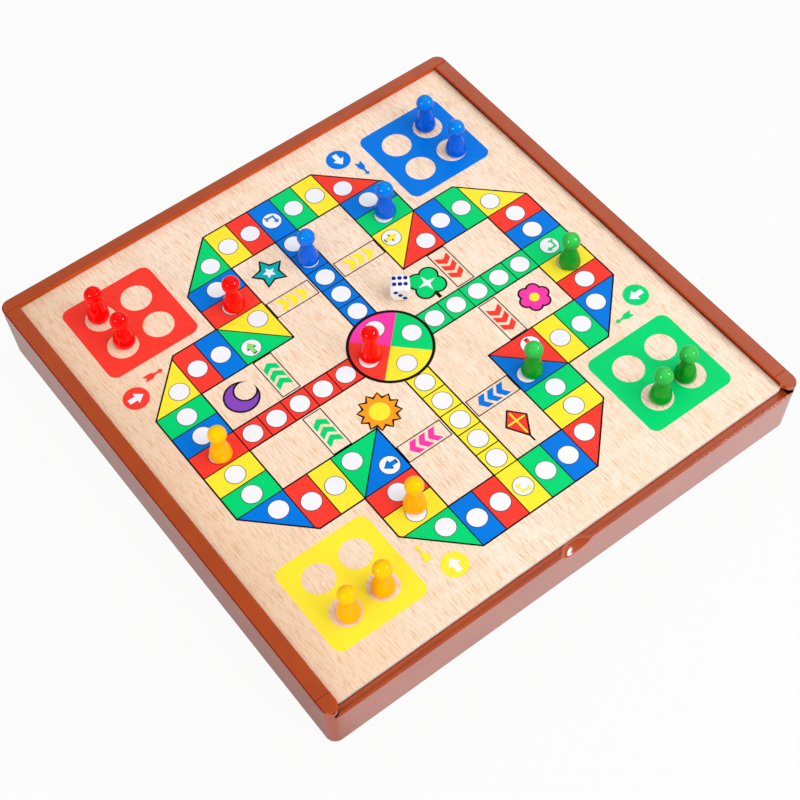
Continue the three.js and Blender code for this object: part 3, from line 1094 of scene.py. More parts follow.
@dataclass
class Case:
    """The moulded case: a tray and the three rails that hold the board down."""

    corner_radius: float = 5.5 * MM
    corner_steps: int = 12
    bottom_round: float = 1.8 * MM
    bottom_steps: int = 6
    rim_round: float = 0.9 * MM
    rim_steps: int = 5
    draft: float = 1.4 * MM
    wall: float = 2.4 * MM
    floor: float = 2 * MM
    shelf: float = 3 * MM
    shelf_width: float = 10 * MM
    front_shelf: float = 6.8 * MM
    lip: float = 2.9 * MM
    groove: float = 2.4 * MM
    ledge_drop: float = 0.4 * MM
    bead: float = 1 * MM
    bead_rise: float = 0.5 * MM
    bead_root: float = 0.3 * MM
    bead_round: float = 0.18 * MM
    bead_steps: int = 3
    cap_mouth_radius: float = 6 * MM
    cap_mouth_sides: int = 96
    slot_wall: float = 4 * MM
    scoop_length: float = 19 * MM
    scoop_reach: float = 5.3 * MM
    scoop_dip: float = 4.5 * MM
    scoop_rim: float = 0.45 * MM
    scoop_margin: float = 0.06 * MM
    scoop_sides: int = 100
    scoop_mesh: tuple[int, int] = (128, 47)
    bevel_mesh: tuple[int, int] = (144, 53)
    boss_margin: float = 3 * MM
    inner_round: float = 4 * MM
    inner_steps: int = 8
    ledge_round: float = 0.6 * MM
    edge_round: float = 0.7 * MM
    edge_steps: int = 4
    cap_round: float = 0.4 * MM
    cap_steps: int = 3
    end_round: float = 0.3 * MM
    end_steps: int = 2
    shade_start: float = 2 * MM
    # The upward share of a rim rounding's normal between which it gets a painted highlight.
    highlight_from: float = 0.15
    highlight_to: float = 0.97
    seam: float = 0.03 * MM
    rib: float = 1.6 * MM
    rib_reach: float = 2.5 * MM
    fit: float = 0.3 * MM
    finish: MouldedPlastic = MouldedPlastic("case", linear(176, 72, 24), linear(166, 65, 20), coat=1.0)
    # Painted shade: a darker, duller red for the lip's inner faces, and a painted dark reflection on the
    # rim's outer rounding.
    painted_shade_finish: MouldedPlastic = MouldedPlastic(
        "case_painted_shade", linear(134, 28, 6), linear(122, 24, 4), roughness=0.45, gloss=0.1
    )
    # Painted highlight: a lighter orange for the rounded edges along the rim and the back rail's lip.
    edge_highlight_finish: MouldedPlastic = MouldedPlastic(
        "case_edge_highlight", linear(192, 74, 20), linear(184, 68, 16), roughness=0.35, gloss=0.15
    )
    # Painted shade: a near-black red for the faces under the caps and rails.
    slot_shade_finish: MouldedPlastic = MouldedPlastic(
        "case_slot_shade", linear(54, 14, 6), linear(46, 12, 5), roughness=0.6, gloss=0.05
    )

    def __post_init__(self) -> None:
        """Takes the places of the case's surfaces from the frame."""
        back_low, back_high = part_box("back_rail")
        left_low, left_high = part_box("left_rail")
        self.half_x, self.half_y, self.top = back_high
        self.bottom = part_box("case_tray")[0].z
        self.shelf_top = left_low.z - self.fit
        self.seam_level = self.shelf_top + self.seam
        self.window_x = -left_high.x
        self.cap_end = left_low.y - self.fit
        self.window_back = (back_low.y + left_high.y) / 2
        self.lip_under = self.top - self.lip
        self.ledge = self.shelf_top - self.ledge_drop
        self.bead_top = self.ledge + self.bead_rise
        self.before = -self.half_y - OVERRUN
        self.above = self.top + OVERRUN
        self.shelf_front = self.front_shelf - self.half_y
        self.inner_x = self.half_x - (self.draft + self.wall)
        self.inner_y = self.half_y - (self.draft + self.wall)
        self.scoop_radius = ((self.scoop_length / 2) ** 2 + self.scoop_reach**2) / (2 * self.scoop_reach)
        self.scoop_centre = self.scoop_reach - self.scoop_radius - self.half_y
        self.scoop_drop = self.scoop_dip * self.scoop_radius / (self.scoop_length / 2)

    def outer_block(self, name: str) -> Workpiece:
        """Models the whole outer form: leaning walls, rounded corners, and rounded bottom and rim edges.

        Args:
            name: The piece's name.

        Returns:
            The form as a solid block.
        """
        low = (-self.half_x, -self.half_y, self.bottom)
        block = Workpiece.block(name, low, (self.half_x, self.half_y, self.top))
        with block.picked(Pick.FACES, lambda place, normal: normal.z < -MOSTLY):
            lean = (1 - self.draft / self.half_x, 1 - self.draft / self.half_y, 1)
            bpy.ops.transform.resize(value=lean, center_override=(0, 0, 0))
        block.round_edges(upright, self.corner_radius, self.corner_steps)
        block.round_edges(
            lambda place, along: place.z < self.bottom + TINY, self.bottom_round, self.bottom_steps
        )
        block.round_edges(lambda place, along: place.z > self.top - TINY, self.rim_round, self.rim_steps)
        return block

    def board_space(self) -> list[Workpiece]:
        """Models what the board slides in.

        Returns:
            The groove under the rails, and the window between them.
        """
        spaces = []
        for name, past, high in (("groove", self.groove, self.lip_under), ("window", 0, self.above)):
            reach = self.window_x + past
            low = (-reach, self.before, self.shelf_top)
            spaces.append(Workpiece.block(name, low, (reach, self.window_back + past, high)))
        return spaces

    def inside(self) -> list[Workpiece]:
        """Models the room inside the tray.

        Returns:
            The hollow, and the mouth above it that the shelf leaves open.
        """
        under = self.shelf_top - self.shelf
        cavity_low = (-self.inner_x, -self.inner_y, self.bottom + self.floor)
        mouth_x, mouth_y = (half - (self.draft + self.shelf_width) for half in (self.half_x, self.half_y))
        mouth_low = (-mouth_x, self.shelf_front, under - self.shelf)
        spaces = [
            Workpiece.block("cavity", cavity_low, (self.inner_x, self.inner_y, under)),
            Workpiece.block("mouth", mouth_low, (mouth_x, mouth_y, self.top)),
        ]
        for space in spaces:
            space.round_edges(upright, self.inner_round, self.inner_steps)
        return spaces

    def rail_space(self) -> Workpiece:
        """The room over the walls that the three rails take."""
        low = (-self.half_x - OVERRUN, self.cap_end, self.shelf_top)
        return Workpiece.block("rail_space", low, (self.half_x + OVERRUN, self.half_y + OVERRUN, self.above))

    def front_step(self) -> Workpiece:
        """The strip that lowers the front wall's top, and runs on as a slot under both caps."""
        reach, low, high = self.half_x - self.slot_wall, self.ledge, self.lip_under
        return Workpiece.block("front_step", (-reach, self.before, low), (reach, self.shelf_front, high))

    def cap_mouth(self, side: int) -> Workpiece:
        """Models what is taken off a cap's inner front corner, up to an arc.

        Args:
            side: -1 for the left cap, and 1 for the right one.

        Returns:
            The cutter.
        """
        outer = self.window_x + self.cap_mouth_radius
        start = self.cap_mouth_radius - self.half_y
        left, right = sorted((side * (self.window_x - OVERRUN), side * outer))
        corner = Workpiece.block("cap_mouth", (left, self.before, self.lip_under), (right, start, self.above))
        low, high = self.lip_under - OVERRUN, self.above + OVERRUN
        centre = (side * outer, start)
        corner.combine(
            Combine.CUT,
            Workpiece.bar("kept", self.cap_mouth_radius, centre, low, high, self.cap_mouth_sides),
        )
        return corner

    def scoop_boss(self) -> Workpiece:
        """Models the thick place in the front wall behind the thumb scoop.

        Returns:
            The boss.
        """
        reach = self.scoop_length / 2 + self.boss_margin
        front = self.draft + self.wall / 2 - self.half_y
        bottom = self.ledge - self.scoop_dip - self.boss_margin
        return Workpiece.block("boss", (-reach, front, bottom), (reach, self.shelf_front, self.ledge))

    def front_bead(self) -> Workpiece:
        """Models the bead on the front wall's outer edge, which runs round the back of the scoop.

        Returns:
            The bead.
        """
        reach = self.half_x - self.corner_radius
        front = self.rim_round - self.half_y
        low = self.ledge - self.bead_root
        centre = (0, self.scoop_centre)
        radius = self.scoop_radius + self.scoop_margin
        core = Workpiece.bar("core", radius, centre, low - OVERRUN, self.top, self.scoop_sides)
        bead = Workpiece.block("bead", (-reach, front, low), (reach, front + self.bead, self.bead_top))
        outer = self.scoop_radius + self.bead
        ring = Workpiece.bar("ring", outer, centre, low, self.bead_top, self.scoop_sides)
        ring.combine(Combine.CUT, core.copy())
        for piece in (bead, ring):
            piece.round_edges(
                lambda place, along: place.z > self.bead_top - TINY
                and (piece is ring or abs(along.x) > NEARLY),
                self.bead_round,
                self.bead_steps,
            )
        wide = self.scoop_length
        place_low = (-wide, front + self.bead / 2, low - OVERRUN)
        ring.combine(Combine.KEEP, Workpiece.block("place", place_low, (wide, self.shelf_front, self.top)))
        bead.combine(Combine.CUT, core)
        bead.combine(Combine.ADD, ring)
        return bead

    def scoop(self) -> Workpiece:
        """The thumb scoop's ball."""
        radii = (self.scoop_radius, self.scoop_radius, self.scoop_drop)
        return Workpiece.ball("scoop", radii, (0, self.scoop_centre, self.ledge), *self.scoop_mesh)

    def scoop_bevel(self) -> Workpiece:
        """Models a flatter ball that takes the edge off the scoop where it breaks through the front wall.

        Returns:
            The cutter.
        """
        half = self.scoop_length / 2 + self.scoop_rim
        radius = half * 2
        behind = math.sqrt(radius**2 - half**2)
        drop = (self.scoop_dip + self.scoop_rim) * radius / half
        centre = (0, -self.half_y - behind, self.ledge)
        return Workpiece.ball("scoop_bevel", (radius, radius, drop), centre, *self.bevel_mesh)

    def ribs(self) -> Workpiece:
        """Models the pairs of ribs on the walls that hold the dividers' ends.

        Returns:
            All ribs as one mesh.
        """
        long_ones = {name: (1, (-1, 1)) for name in ("divider_front", "divider_rear")}
        short_ones = {f"divider_pawns_{name}": (0, (-1,)) for name in ("left", "middle", "right")}
        held = {**long_ones, **short_ones, "divider_draughts": (0, (1,))}
        low, high = self.bottom + self.floor / 2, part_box("divider_front")[1].z
        found = []
        for name, (axis, sides) in held.items():
            start, end = (corner[axis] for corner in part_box(name))
            wall = self.inner_x if axis else self.inner_y
            for near, far in ((start, -self.rib), (end, self.rib)):
                edge = near + math.copysign(self.fit, far)
                span = sorted((edge, edge + far))
                for side in sides:
                    reach = sorted((side * (wall - self.rib_reach), side * (wall + self.wall / 2)))
                    across, back = (reach, span) if axis else (span, reach)
                    start_corner, end_corner = zip(across, back, (low, high))
                    found.append(Workpiece.block("rib", start_corner, end_corner))
        first, *others = found
        first.join(*others)
        return first

    def make_tray(self) -> Workpiece:
        """Models the tray with its caps, ledge, bead, scoop and ribs.

        Returns:
            The tray.
        """
        tray = self.outer_block("case_tray_shell")
        tray.combine(Combine.CUT, *self.inside(), self.rail_space(), *self.board_space(), self.front_step())
        tray.combine(Combine.CUT, self.cap_mouth(1), self.cap_mouth(-1))
        tray.heal()
        tray.round_edges(
            lambda place, along: abs(place.z - self.ledge) < TINY
            and place.y < MM - self.half_y
            and abs(along.x) > NEARLY,
            self.ledge_round,
            self.edge_steps,
        )
        tray.round_edges(
            lambda place, along: place.z > self.top - TINY
            and MM - self.half_y < place.y < self.cap_end - TINY
            and abs(place.x) < self.half_x - self.rim_round - TINY,
            self.cap_round,
            self.cap_steps,
        )
        tray.combine(Combine.ADD, self.scoop_boss())
        tray.combine(Combine.CUT, self.scoop(), self.scoop_bevel())
        tray.combine(Combine.ADD, self.front_bead(), self.ribs())
        # Splits the faces beside the board's window, where the painted shade of the slots starts.
        for side in (-1, 1):
            tray.bisect((side * (self.window_x + self.shade_start), 0, 0), (1, 0, 0), clear=False)
        tray.heal()
        return tray

    def make_rail(self, node: str) -> Workpiece:
        """Models one rail as a stretch of the outer form less the board's room.

        Args:
            node: The rail's solid part.

        Returns:
            The rail.
        """
        rail = self.outer_block(f"{node}_strip")
        low, high = (self.past_rim(corner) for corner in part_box(node))
        low.z = self.seam_level
        rail.combine(Combine.KEEP, Workpiece.block("place", low, high))
        rail.combine(Combine.CUT, *self.board_space())
        rail.heal()
        ends = [value for value in (low.y, high.y) if abs(value) < self.half_y]
        rail.round_edges(
            lambda place, along: abs(along.z) < HARDLY
            and place.z > self.top - TINY
            and max(abs(place.x) - self.window_x, place.y - self.window_back) < TINY,
            self.edge_round,
            self.edge_steps,
        )
        rail.round_edges(
            lambda place, along: abs(along.y) < HARDLY and min(abs(place.y - end) for end in ends) < TINY,
            self.end_round,
            self.end_steps,
        )
        return rail

    def past_rim(self, corner: Vector) -> Vector:
        """Moves a corner's values past the outer form where they lie on it.

        Args:
            corner: The corner.

        Returns:
            The moved corner, above the rim.
        """
        found = [
            value + math.copysign(OVERRUN, value) if abs(value) > self.half_x - MM else value
            for value in corner[:2]
        ]
        return Vector((*found, self.above))

    def on_lip(self, place: Vector, normal: Vector) -> bool:
        """Whether a face is on the lip's inner side, which gets painted shade, or a painted highlight on the
        back rail.
        """
        inside = max(abs(place.x), abs(place.y)) < self.window_x + self.cap_mouth_radius / 2
        return inside and self.lip_under < place.z < self.top - self.edge_round and abs(normal.z) < MOSTLY

    def on_edge(self, place: Vector, normal: Vector) -> bool:
        """Whether a face is on a rounded edge along the rim, which gets a painted highlight."""
        return place.z > self.top - self.rim_round and self.highlight_from < normal.z < self.highlight_to

    def on_outer_edge(self, place: Vector, normal: Vector) -> bool:
        """Whether a face is on the rim's outer rounding, which gets a painted dark reflection."""
        outside = max(abs(place.x) - self.half_x, abs(place.y) - self.half_y) > -self.rim_round
        return outside and self.on_edge(place, normal)

    def in_slot(self, place: Vector, normal: Vector) -> bool:
        """Whether a face is in the shade under a cap or a rail.

        Args:
            place: The face's middle.
            normal: Its normal.

        Returns:
            Yes or no.
        """
        under = normal.z < -MOSTLY and abs(place.z - self.lip_under) < self.seam
        beside = abs(place.x) > self.window_x + self.shade_start
        in_front = MM < place.y + self.half_y < self.front_shelf + self.seam
        level = self.ledge - self.seam < place.z < self.lip_under
        return under or (beside and in_front and level)

    def dress(self) -> None:
        """Builds the case's pieces and gives them their plastic, with painted shade and painted highlights.
        """
        # The plastic, then the painted shade, the painted highlight and the painted shade of the slots, as
        # material numbers 0 to 3.
        finishes = (self.finish, self.painted_shade_finish, self.edge_highlight_finish, self.slot_shade_finish)
        plastic, lip, edge, slot = (finish.make() for finish in finishes)
        pieces = {"case_tray": self.make_tray()}
        pieces.update({node: self.make_rail(node) for node in ("left_rail", "right_rail", "back_rail")})
        for node, piece in pieces.items():
            piece.finish(plastic, lip, edge, slot)
            # The lip's inner faces get painted shade, or a painted highlight on the back rail; the rim's
            # roundings get a painted highlight, the outer ones a painted dark reflection; the slots get
            # painted shade.
            piece.paint(self.on_lip, 2 if node == "back_rail" else 1)
            piece.paint(self.on_edge, 2)
            piece.paint(self.on_outer_edge, 1)
            piece.paint(self.in_slot, 3)
            piece.smooth()
            piece.place_in("case", "case", node)


# Motifs of the race game


Marks = Sequence[tuple[Point, int, Ink]]


@dataclass
class Motifs:
    """The small shapes printed over the race game: arrows, chevrons and start discs, all in track squares.

    Each mark is a place, its turn in quarter turns, and its ink.
    """

    game: RaceGame
    arrow_length: float = 0.5
    arrow_head: float = 0.25
    arrow_half: float = 0.2
    shaft_half: float = 0.085
    shadow: float = 0.05
    stroke_half: float = 0.04
    fork: float = 0.12
    fork_turn: float = math.radians(130)
    bent_tail: Point = (-0.1, 0.17)
    bent_corner: Point = (0.15, 0.17)
    bent_neck: Point = (0.15, -0.06)
    bent_head: float = 0.62
    feather_half: float = 0.13
    feather_notch: float = 0.12
    feather_tail: float = -0.39
    feather_neck: float = 0.06
    feather_end: float = 0.245
    feather_head: float = 0.58
    chevron_box: Point = (1.88, 0.79)
    chevron_line: float = 0.038
    chevron_at: Point = (1.52, 3.93)
    chevron_step: float = 0.4
    chevron_deep: float = 0.26
    chevron_rise: float = 0.28
    chevron_point: float = 0.2
    start_radius: float = 0.48
    start_sides: int = 48
    start_arrow: float = 1.2
    triangle_side: float = math.sqrt(3)
    triangle_height: float = 1.5
    feather_marks: Marks = (
        ((-7.38, 4.24), 0, Ink.RED),
        ((4.28, 7.39), -1, Ink.BLUE),
        ((7.38, -4.23), 2, Ink.GREEN),
        ((-4.27, -7.40), 1, Ink.YELLOW),
    )
    start_marks: Marks = (
        ((-8.41, 3.76), 0, Ink.RED),
        ((3.78, 8.34), -1, Ink.BLUE),
        ((8.40, -3.72), 2, Ink.GREEN),
        ((-3.69, -8.36), 1, Ink.YELLOW),
    )

    def arrow(self, scale: float = 1) -> Workpiece:
        """Models a straight arrow that points along +X, with its middle at the origin.

        Args:
            scale: Its size.

        Returns:
            The arrow.
        """
        half = self.arrow_length / 2
        neck = half - self.arrow_head
        wide = self.shaft_half * scale
        shaft = self.game.rectangle(-half * scale, -wide, neck * scale, wide)
        shaft.join(self.head((neck * scale, 0), scale))
        return shaft

    def head(self, start: Point, scale: float, quarters: float = 0) -> Workpiece:
        """Models an arrow's head.

        Args:
            start: The middle of its back edge.
            scale: Its size.
            quarters: Its turn from +X in quarter turns.

        Returns:
            The head.
        """
        radius = self.game.length(self.arrow_head)
        tip = Workpiece.disc(radius, (0, 0), 3, -QUARTER)
        tip.put(Matrix.Translation((radius / 2, 0, 0)))
        wide = self.arrow_half * 2 / (self.arrow_head * self.triangle_side)
        long = 1 / self.triangle_height
        tip.put(self.game.spot(start, quarters) @ Matrix.Diagonal((long * scale, wide * scale, 1, 1)))
        return tip

    def stroke(self, start: Point, turn: float, reach: float) -> Workpiece:
        """Models a straight stroke as a low block.

        Args:
            start: Where it starts.
            turn: Its turn from +X.
            reach: How far it runs.

        Returns:
            The stroke.
        """
        half = self.game.length(self.stroke_half)
        stroke = Workpiece.block("stroke", (-half, -half, -OVERRUN), (self.game.length(reach), half, 0))
        stroke.put(self.game.spot(start) @ Matrix.Rotation(turn, 4, "Z"))
        return stroke

    def bent_arrow(self) -> Workpiece:
        """Models an arrow that runs from its forked tail along +X, then turns and points along -Y.

        Returns:
            The arrow.
        """
        tail, corner, neck = self.bent_tail, self.bent_corner, self.bent_neck
        arrow = self.stroke(tail, 0, corner[0] - tail[0])
        arrow.combine(
            Combine.ADD,
            self.stroke(corner, -QUARTER, corner[1] - neck[1]),
            self.stroke(tail, self.fork_turn, self.fork),
            self.stroke(tail, -self.fork_turn, self.fork),
        )
        arrow.heal()
        arrow.keep_top()
        arrow.join(self.head(neck, self.bent_head, -1))
        return arrow

    def feathered_arrow(self) -> Workpiece:
        """Models a slim arrow along +X with a broad feathered tail that is notched at its end.

        Returns:
            The arrow.
        """
        game, half, neck, end = self.game, self.feather_half, self.feather_neck, self.feather_end
        arrow = game.rectangle(self.feather_tail, -half, neck, half)
        arrow.bisect((0, 0, 0), (0, 1, 0), clear=False)
        arrow.bisect((game.length(neck - half), 0, 0), (1, 0, 0), clear=False)
        arrow.move(
            lambda place, normal: abs(place.y) < TINY and place.x < game.length(self.feather_tail) + TINY,
            (game.length(self.feather_notch), 0, 0),
        )
        for side in (-1, 1):
            arrow.move(
                lambda place, normal: place.x > game.length(neck) - TINY and place.y * side > TINY,
                (0, side * game.length(self.stroke_half - half), 0),
            )
        stem = game.rectangle(neck, -self.stroke_half, end, self.stroke_half)
        arrow.join(stem, self.head((end, 0), self.feather_head))
        return arrow

    def print_arrows(self) -> list[Stencil]:
        """Prints the arrows on the corner discs, the bent arrows on the end discs, and the start arrows.

        Returns:
            The shadows' stencil and one for each colour.
        """
        game = self.game
        shadows = game.stencil("arrow_shadows", Ink.BLACK, 5)
        inks = (Ink.BLUE, Ink.GREEN, Ink.YELLOW, Ink.RED)
        layers = {ink: game.stencil(f"arrows_{ink.word}", ink, 6) for ink in (*inks, Ink.LIME)}
        behind = Matrix.Translation((-game.length(self.shadow), 0, 0))
        straight, feathered, bent = self.arrow(), self.feathered_arrow(), self.bent_arrow()
        corner, end = game.spot((-game.disc_far, game.disc_near), 1), game.spot((0, game.disc_band))
        for quarter, ink in zip(quarter_turns(), (Ink.LIME, Ink.YELLOW, Ink.RED, Ink.BLUE)):
            layers[ink].shapes.append(straight.copy(quarter @ corner))
            shadows.shapes.append(straight.copy(quarter @ corner @ behind))
        for place, quarters, ink in self.feather_marks:
            layers[ink].shapes.append(feathered.copy(game.spot(place, quarters)))
        for quarter, ink in zip(quarter_turns(), inks):
            layers[ink].shapes.append(bent.copy(quarter @ end))
        for shape in (straight, feathered, bent):
            shape.discard()
        return [shadows, *layers.values()]

    def chevron(self) -> Workpiece:
        """Models one chevron that points along +X.

        Returns:
            The chevron.
        """
        deep, rise, point = self.chevron_deep, self.chevron_rise, self.chevron_point
        shape = self.game.rectangle(-(deep + point) / 2, -rise, (deep - point) / 2, rise)
        shape.bisect((0, 0, 0), (0, 1, 0), clear=False)
        shape.move(lambda place, normal: abs(place.y) < TINY, (self.game.length(point), 0, 0))
        return shape

    def chevron_frame(self) -> Workpiece:
        """Models the thin frame round three chevrons.

        Returns:
            The frame, about the origin.
        """
        half, rise = self.chevron_box[0] / 2, self.chevron_box[1] / 2
        within, under = half - self.chevron_line, rise - self.chevron_line
        sides = ((-within, -rise, within, -under), (-half, -rise, -within, rise), (within, -rise, half, rise))
        box = self.game.rectangle(-within, under, within, rise)
        box.join(*[self.game.rectangle(*side) for side in sides])
        return box

    def print_chevrons(self) -> list[Stencil]:
        """Prints the boxes of three chevrons beside the home lanes.

        Returns:
            The boxes' stencil and one for each colour.
        """
        game = self.game
        across, back = self.chevron_at
        lines = game.stencil("chevron_boxes", Ink.BLACK, 1)
        lines.spread(self.chevron_frame(), game.spots([(-across, back), (across, back)]))
        chevron = self.chevron()
        layers = {}
        lefts = (Ink.YELLOW, Ink.RED, Ink.BLUE, Ink.GREEN)
        rights = (Ink.YELLOW, Ink.RED, Ink.PINK, Ink.GREEN)
        for quarter, *pair in zip(quarter_turns(), lefts, rights):
            for side, ink in zip((-1, 1), pair):
                layer = layers.setdefault(ink, game.stencil(f"chevrons_{ink.word}", ink, 1))
                for step in (-1, 0, 1):
                    place = game.spot((side * across + step * self.chevron_step, back))
                    layer.shapes.append(chevron.copy(quarter @ place))
        chevron.discard()
        return [lines, *layers.values()]

    def print_starts(self) -> list[Stencil]:
        """Prints the discs in the bases' corners from which the pawns start, each with a plain white arrow.

        Returns:
            The arrows' stencil and one for each disc.
        """
        game = self.game
        arrow = self.arrow(self.start_arrow)
        whites = game.stencil("start_arrows", Ink.WHITE, 4)
        stencils = [whites]
        radius = game.length(self.start_radius)
        for (x, y), quarters, ink in self.start_marks:
            disc = Workpiece.disc(radius, (game.length(x), game.length(y)), self.start_sides)
            stencils.append(game.stencil(f"start_{ink.word}", ink, 3, disc))
            whites.shapes.append(arrow.copy(game.spot((x, y), quarters)))
        arrow.discard()
        return stencils


Shapes = list[tuple[int, Ink, Workpiece]]


@dataclass
class Figures:
    """Six plain figures on the bare wood: a star, a sun, a flower, a clover, a moon and a kite.

    Their places and sizes are in track squares, and their parts are shares of the small or the large size.
    """

    game: RaceGame
    small: float = 0.6
    large: float = 0.76
    rim: float = 0.07
    pointed_rim: float = 0.112
    spar: float = 0.035
    sides: int = 36
    star_at: Point = (-1.5, 5.45)
    star_middle: float = 0.42
    sun_at: Point = (-2.0, -2.0)
    sun_middle: float = 0.5
    flower_at: Point = (5.45, -1.5)
    flower_reach: float = 0.6
    flower_petal: float = 0.36
    flower_middle: float = 0.32
    clover_at: Point = (2.78, 1.45)
    clover_stem: float = 1.1
    clover_reach: float = 0.48
    clover_leaf: float = 0.42
    clover_middle: float = 0.5
    moon_at: Point = (-5.45, 1.5)
    moon_bite: float = 0.76
    moon_bite_at: Point = (0.42, 0.24)
    kite_at: Point = (1.5, -5.25)
    kite_tail: float = 1.7
    kite_size: Point = (0.7, 0.8)
    kite_tip: float = 0.35
    kite_spar: Point = (0.6, 0.65)

    def star(self, radius: float, points: int, waist: float) -> Workpiece:
        """Models a flat star from a polygon whose every second corner is drawn in.

        Args:
            radius: From the middle to a point, in squares.
            points: How many points it has.
            waist: How far in the corners between the points lie, as a share of the radius.

        Returns:
            The star, about the origin.
        """
        star = Workpiece.disc(self.game.length(radius), (0, 0), points * 2)
        step = math.pi / points
        with star.picked(
            Pick.CORNERS,
            lambda place, normal: round((math.atan2(place.y, place.x) - QUARTER) / step) % 2 == 1,
        ):
            bpy.ops.transform.resize(value=(waist, waist, 1), center_override=(0, 0, 0))
        return star

    def petals(self, count: int, reach: float, radius: float) -> Workpiece:
        """Models round petals about a middle as one flat shape.

        Args:
            count: How many petals there are.
            reach: From the middle to a petal's middle, in squares.
            radius: A petal's radius, in squares.

        Returns:
            The shape, about the origin.
        """
        length = self.game.length
        middle = Workpiece.bar("petals", length(reach), (0, 0), -OVERRUN, 0, self.sides)
        for number in range(count):
            angle = QUARTER + math.tau * (number + 1 / 2) / count
            centre = (length(reach) * math.cos(angle), length(reach) * math.sin(angle))
            petal = Workpiece.bar("petal", length(radius), centre, -OVERRUN, 0, self.sides)
            middle.combine(Combine.ADD, petal)
        middle.heal()
        middle.keep_top()
        return middle

    def moon(self, radius: float, rim: float) -> Workpiece:
        """Models a crescent with a rim all round it.

        Args:
            radius: Its radius, in squares.
            rim: The rim's width, in squares.

        Returns:
            The crescent.
        """
        length = self.game.length
        moon = Workpiece.bar("moon", length(radius + rim), (0, 0), -OVERRUN, 0, self.sides * 2)
        centre = [length(radius * share) for share in self.moon_bite_at]
        bite = length(radius * self.moon_bite - rim)
        moon.combine(Combine.CUT, Workpiece.bar("bite", bite, centre, -OVERRUN * 2, OVERRUN, self.sides * 2))
        moon.keep_top()
        return moon

    def kite(self, height: float) -> Workpiece:
        """Models a kite, taller than it is wide, with its long tip below.

        Args:
            height: From its middle to its upper tip before it is made slimmer, in squares.

        Returns:
            The kite.
        """
        height = self.game.length(height)
        kite = Workpiece.disc(height, (0, 0), 4)
        kite.put(Matrix.Diagonal((*self.kite_size, 1, 1)))
        kite.move(lambda place, normal: place.y < -height / 2, (0, -height * self.kite_tip, 0))
        return kite

    def stem(self, reach: float, half: float, start: float) -> Workpiece:
        """A straight stem below a figure."""
        return self.game.rectangle(-half, -reach, half, -start)

    def dot(self, radius: float) -> Workpiece:
        """A round dot."""
        return Workpiece.disc(self.game.length(radius), (0, 0), self.sides)

    def figures(self) -> list[tuple[Point, Shapes]]:
        """Models the six figures.

        Returns:
            Each figure's place and its shapes, as (layer, ink, shape).
        """
        small, large, rim, spar = self.small, self.large, self.rim, self.spar
        star = [
            (1, Ink.BLACK, self.star(small + self.pointed_rim, points=5, waist=0.56)),
            (2, Ink.TEAL, self.star(small, points=5, waist=0.52)),
            (3, Ink.WHITE, self.star(small * self.star_middle, points=5, waist=0.5)),
        ]
        sun = [
            (1, Ink.BLACK, self.star(large + rim, points=12, waist=0.78)),
            (2, Ink.ORANGE, self.star(large, points=12, waist=0.72)),
            (3, Ink.YELLOW, self.dot(large * self.sun_middle)),
        ]
        reach, petal = small * self.flower_reach, small * self.flower_petal
        flower = [
            (1, Ink.BLACK, self.petals(6, reach, petal + rim)),
            (2, Ink.PINK, self.petals(6, reach, petal)),
            (3, Ink.YELLOW, self.dot(small * self.flower_middle)),
        ]
        reach, leaf = large * self.clover_reach, large * self.clover_leaf
        clover = [
            (0, Ink.BLACK, self.stem(large * self.clover_stem, rim, 0)),
            (1, Ink.BLACK, self.petals(4, reach, leaf + rim)),
            (2, Ink.GREEN, self.petals(4, reach, leaf)),
            (3, Ink.WHITE, self.star(large * self.clover_middle, points=4, waist=0.3)),
        ]
        moon = [
            (1, Ink.BLACK, self.moon(small, rim)),
            (2, Ink.PURPLE, self.moon(small, 0)),
        ]
        across, up = (small * share for share in self.kite_spar)
        spars = self.game.rectangle(-across, -spar, across, spar)
        spars.join(self.stem(small, spar, spar), self.stem(-spar, spar, -up))
        kite = [
            (0, Ink.BLACK, self.stem(small * self.kite_tail, spar, small)),
            (1, Ink.BLACK, self.kite(small + self.pointed_rim)),
            (2, Ink.RED, self.kite(small)),
            (3, Ink.YELLOW, spars),
        ]
        places = (self.star_at, self.sun_at, self.flower_at, self.clover_at, self.moon_at, self.kite_at)
        return list(zip(places, (star, sun, flower, clover, moon, kite)))

    def print_figures(self) -> list[Stencil]:
        """Prints each figure in its place: a dark outline, its colour and a lighter middle.

        Returns:
            One stencil for each layer and ink.
        """
        layers: dict[tuple[int, Ink], Stencil] = {}
        for place, shapes in self.figures():
            for layer, ink, shape in shapes:
                stencil = self.game.stencil(f"figures_{ink.word}_{layer}", ink, layer)
                layers.setdefault((layer, ink), stencil).spread(shape, [self.game.spot(place)])
        return list(layers.values())


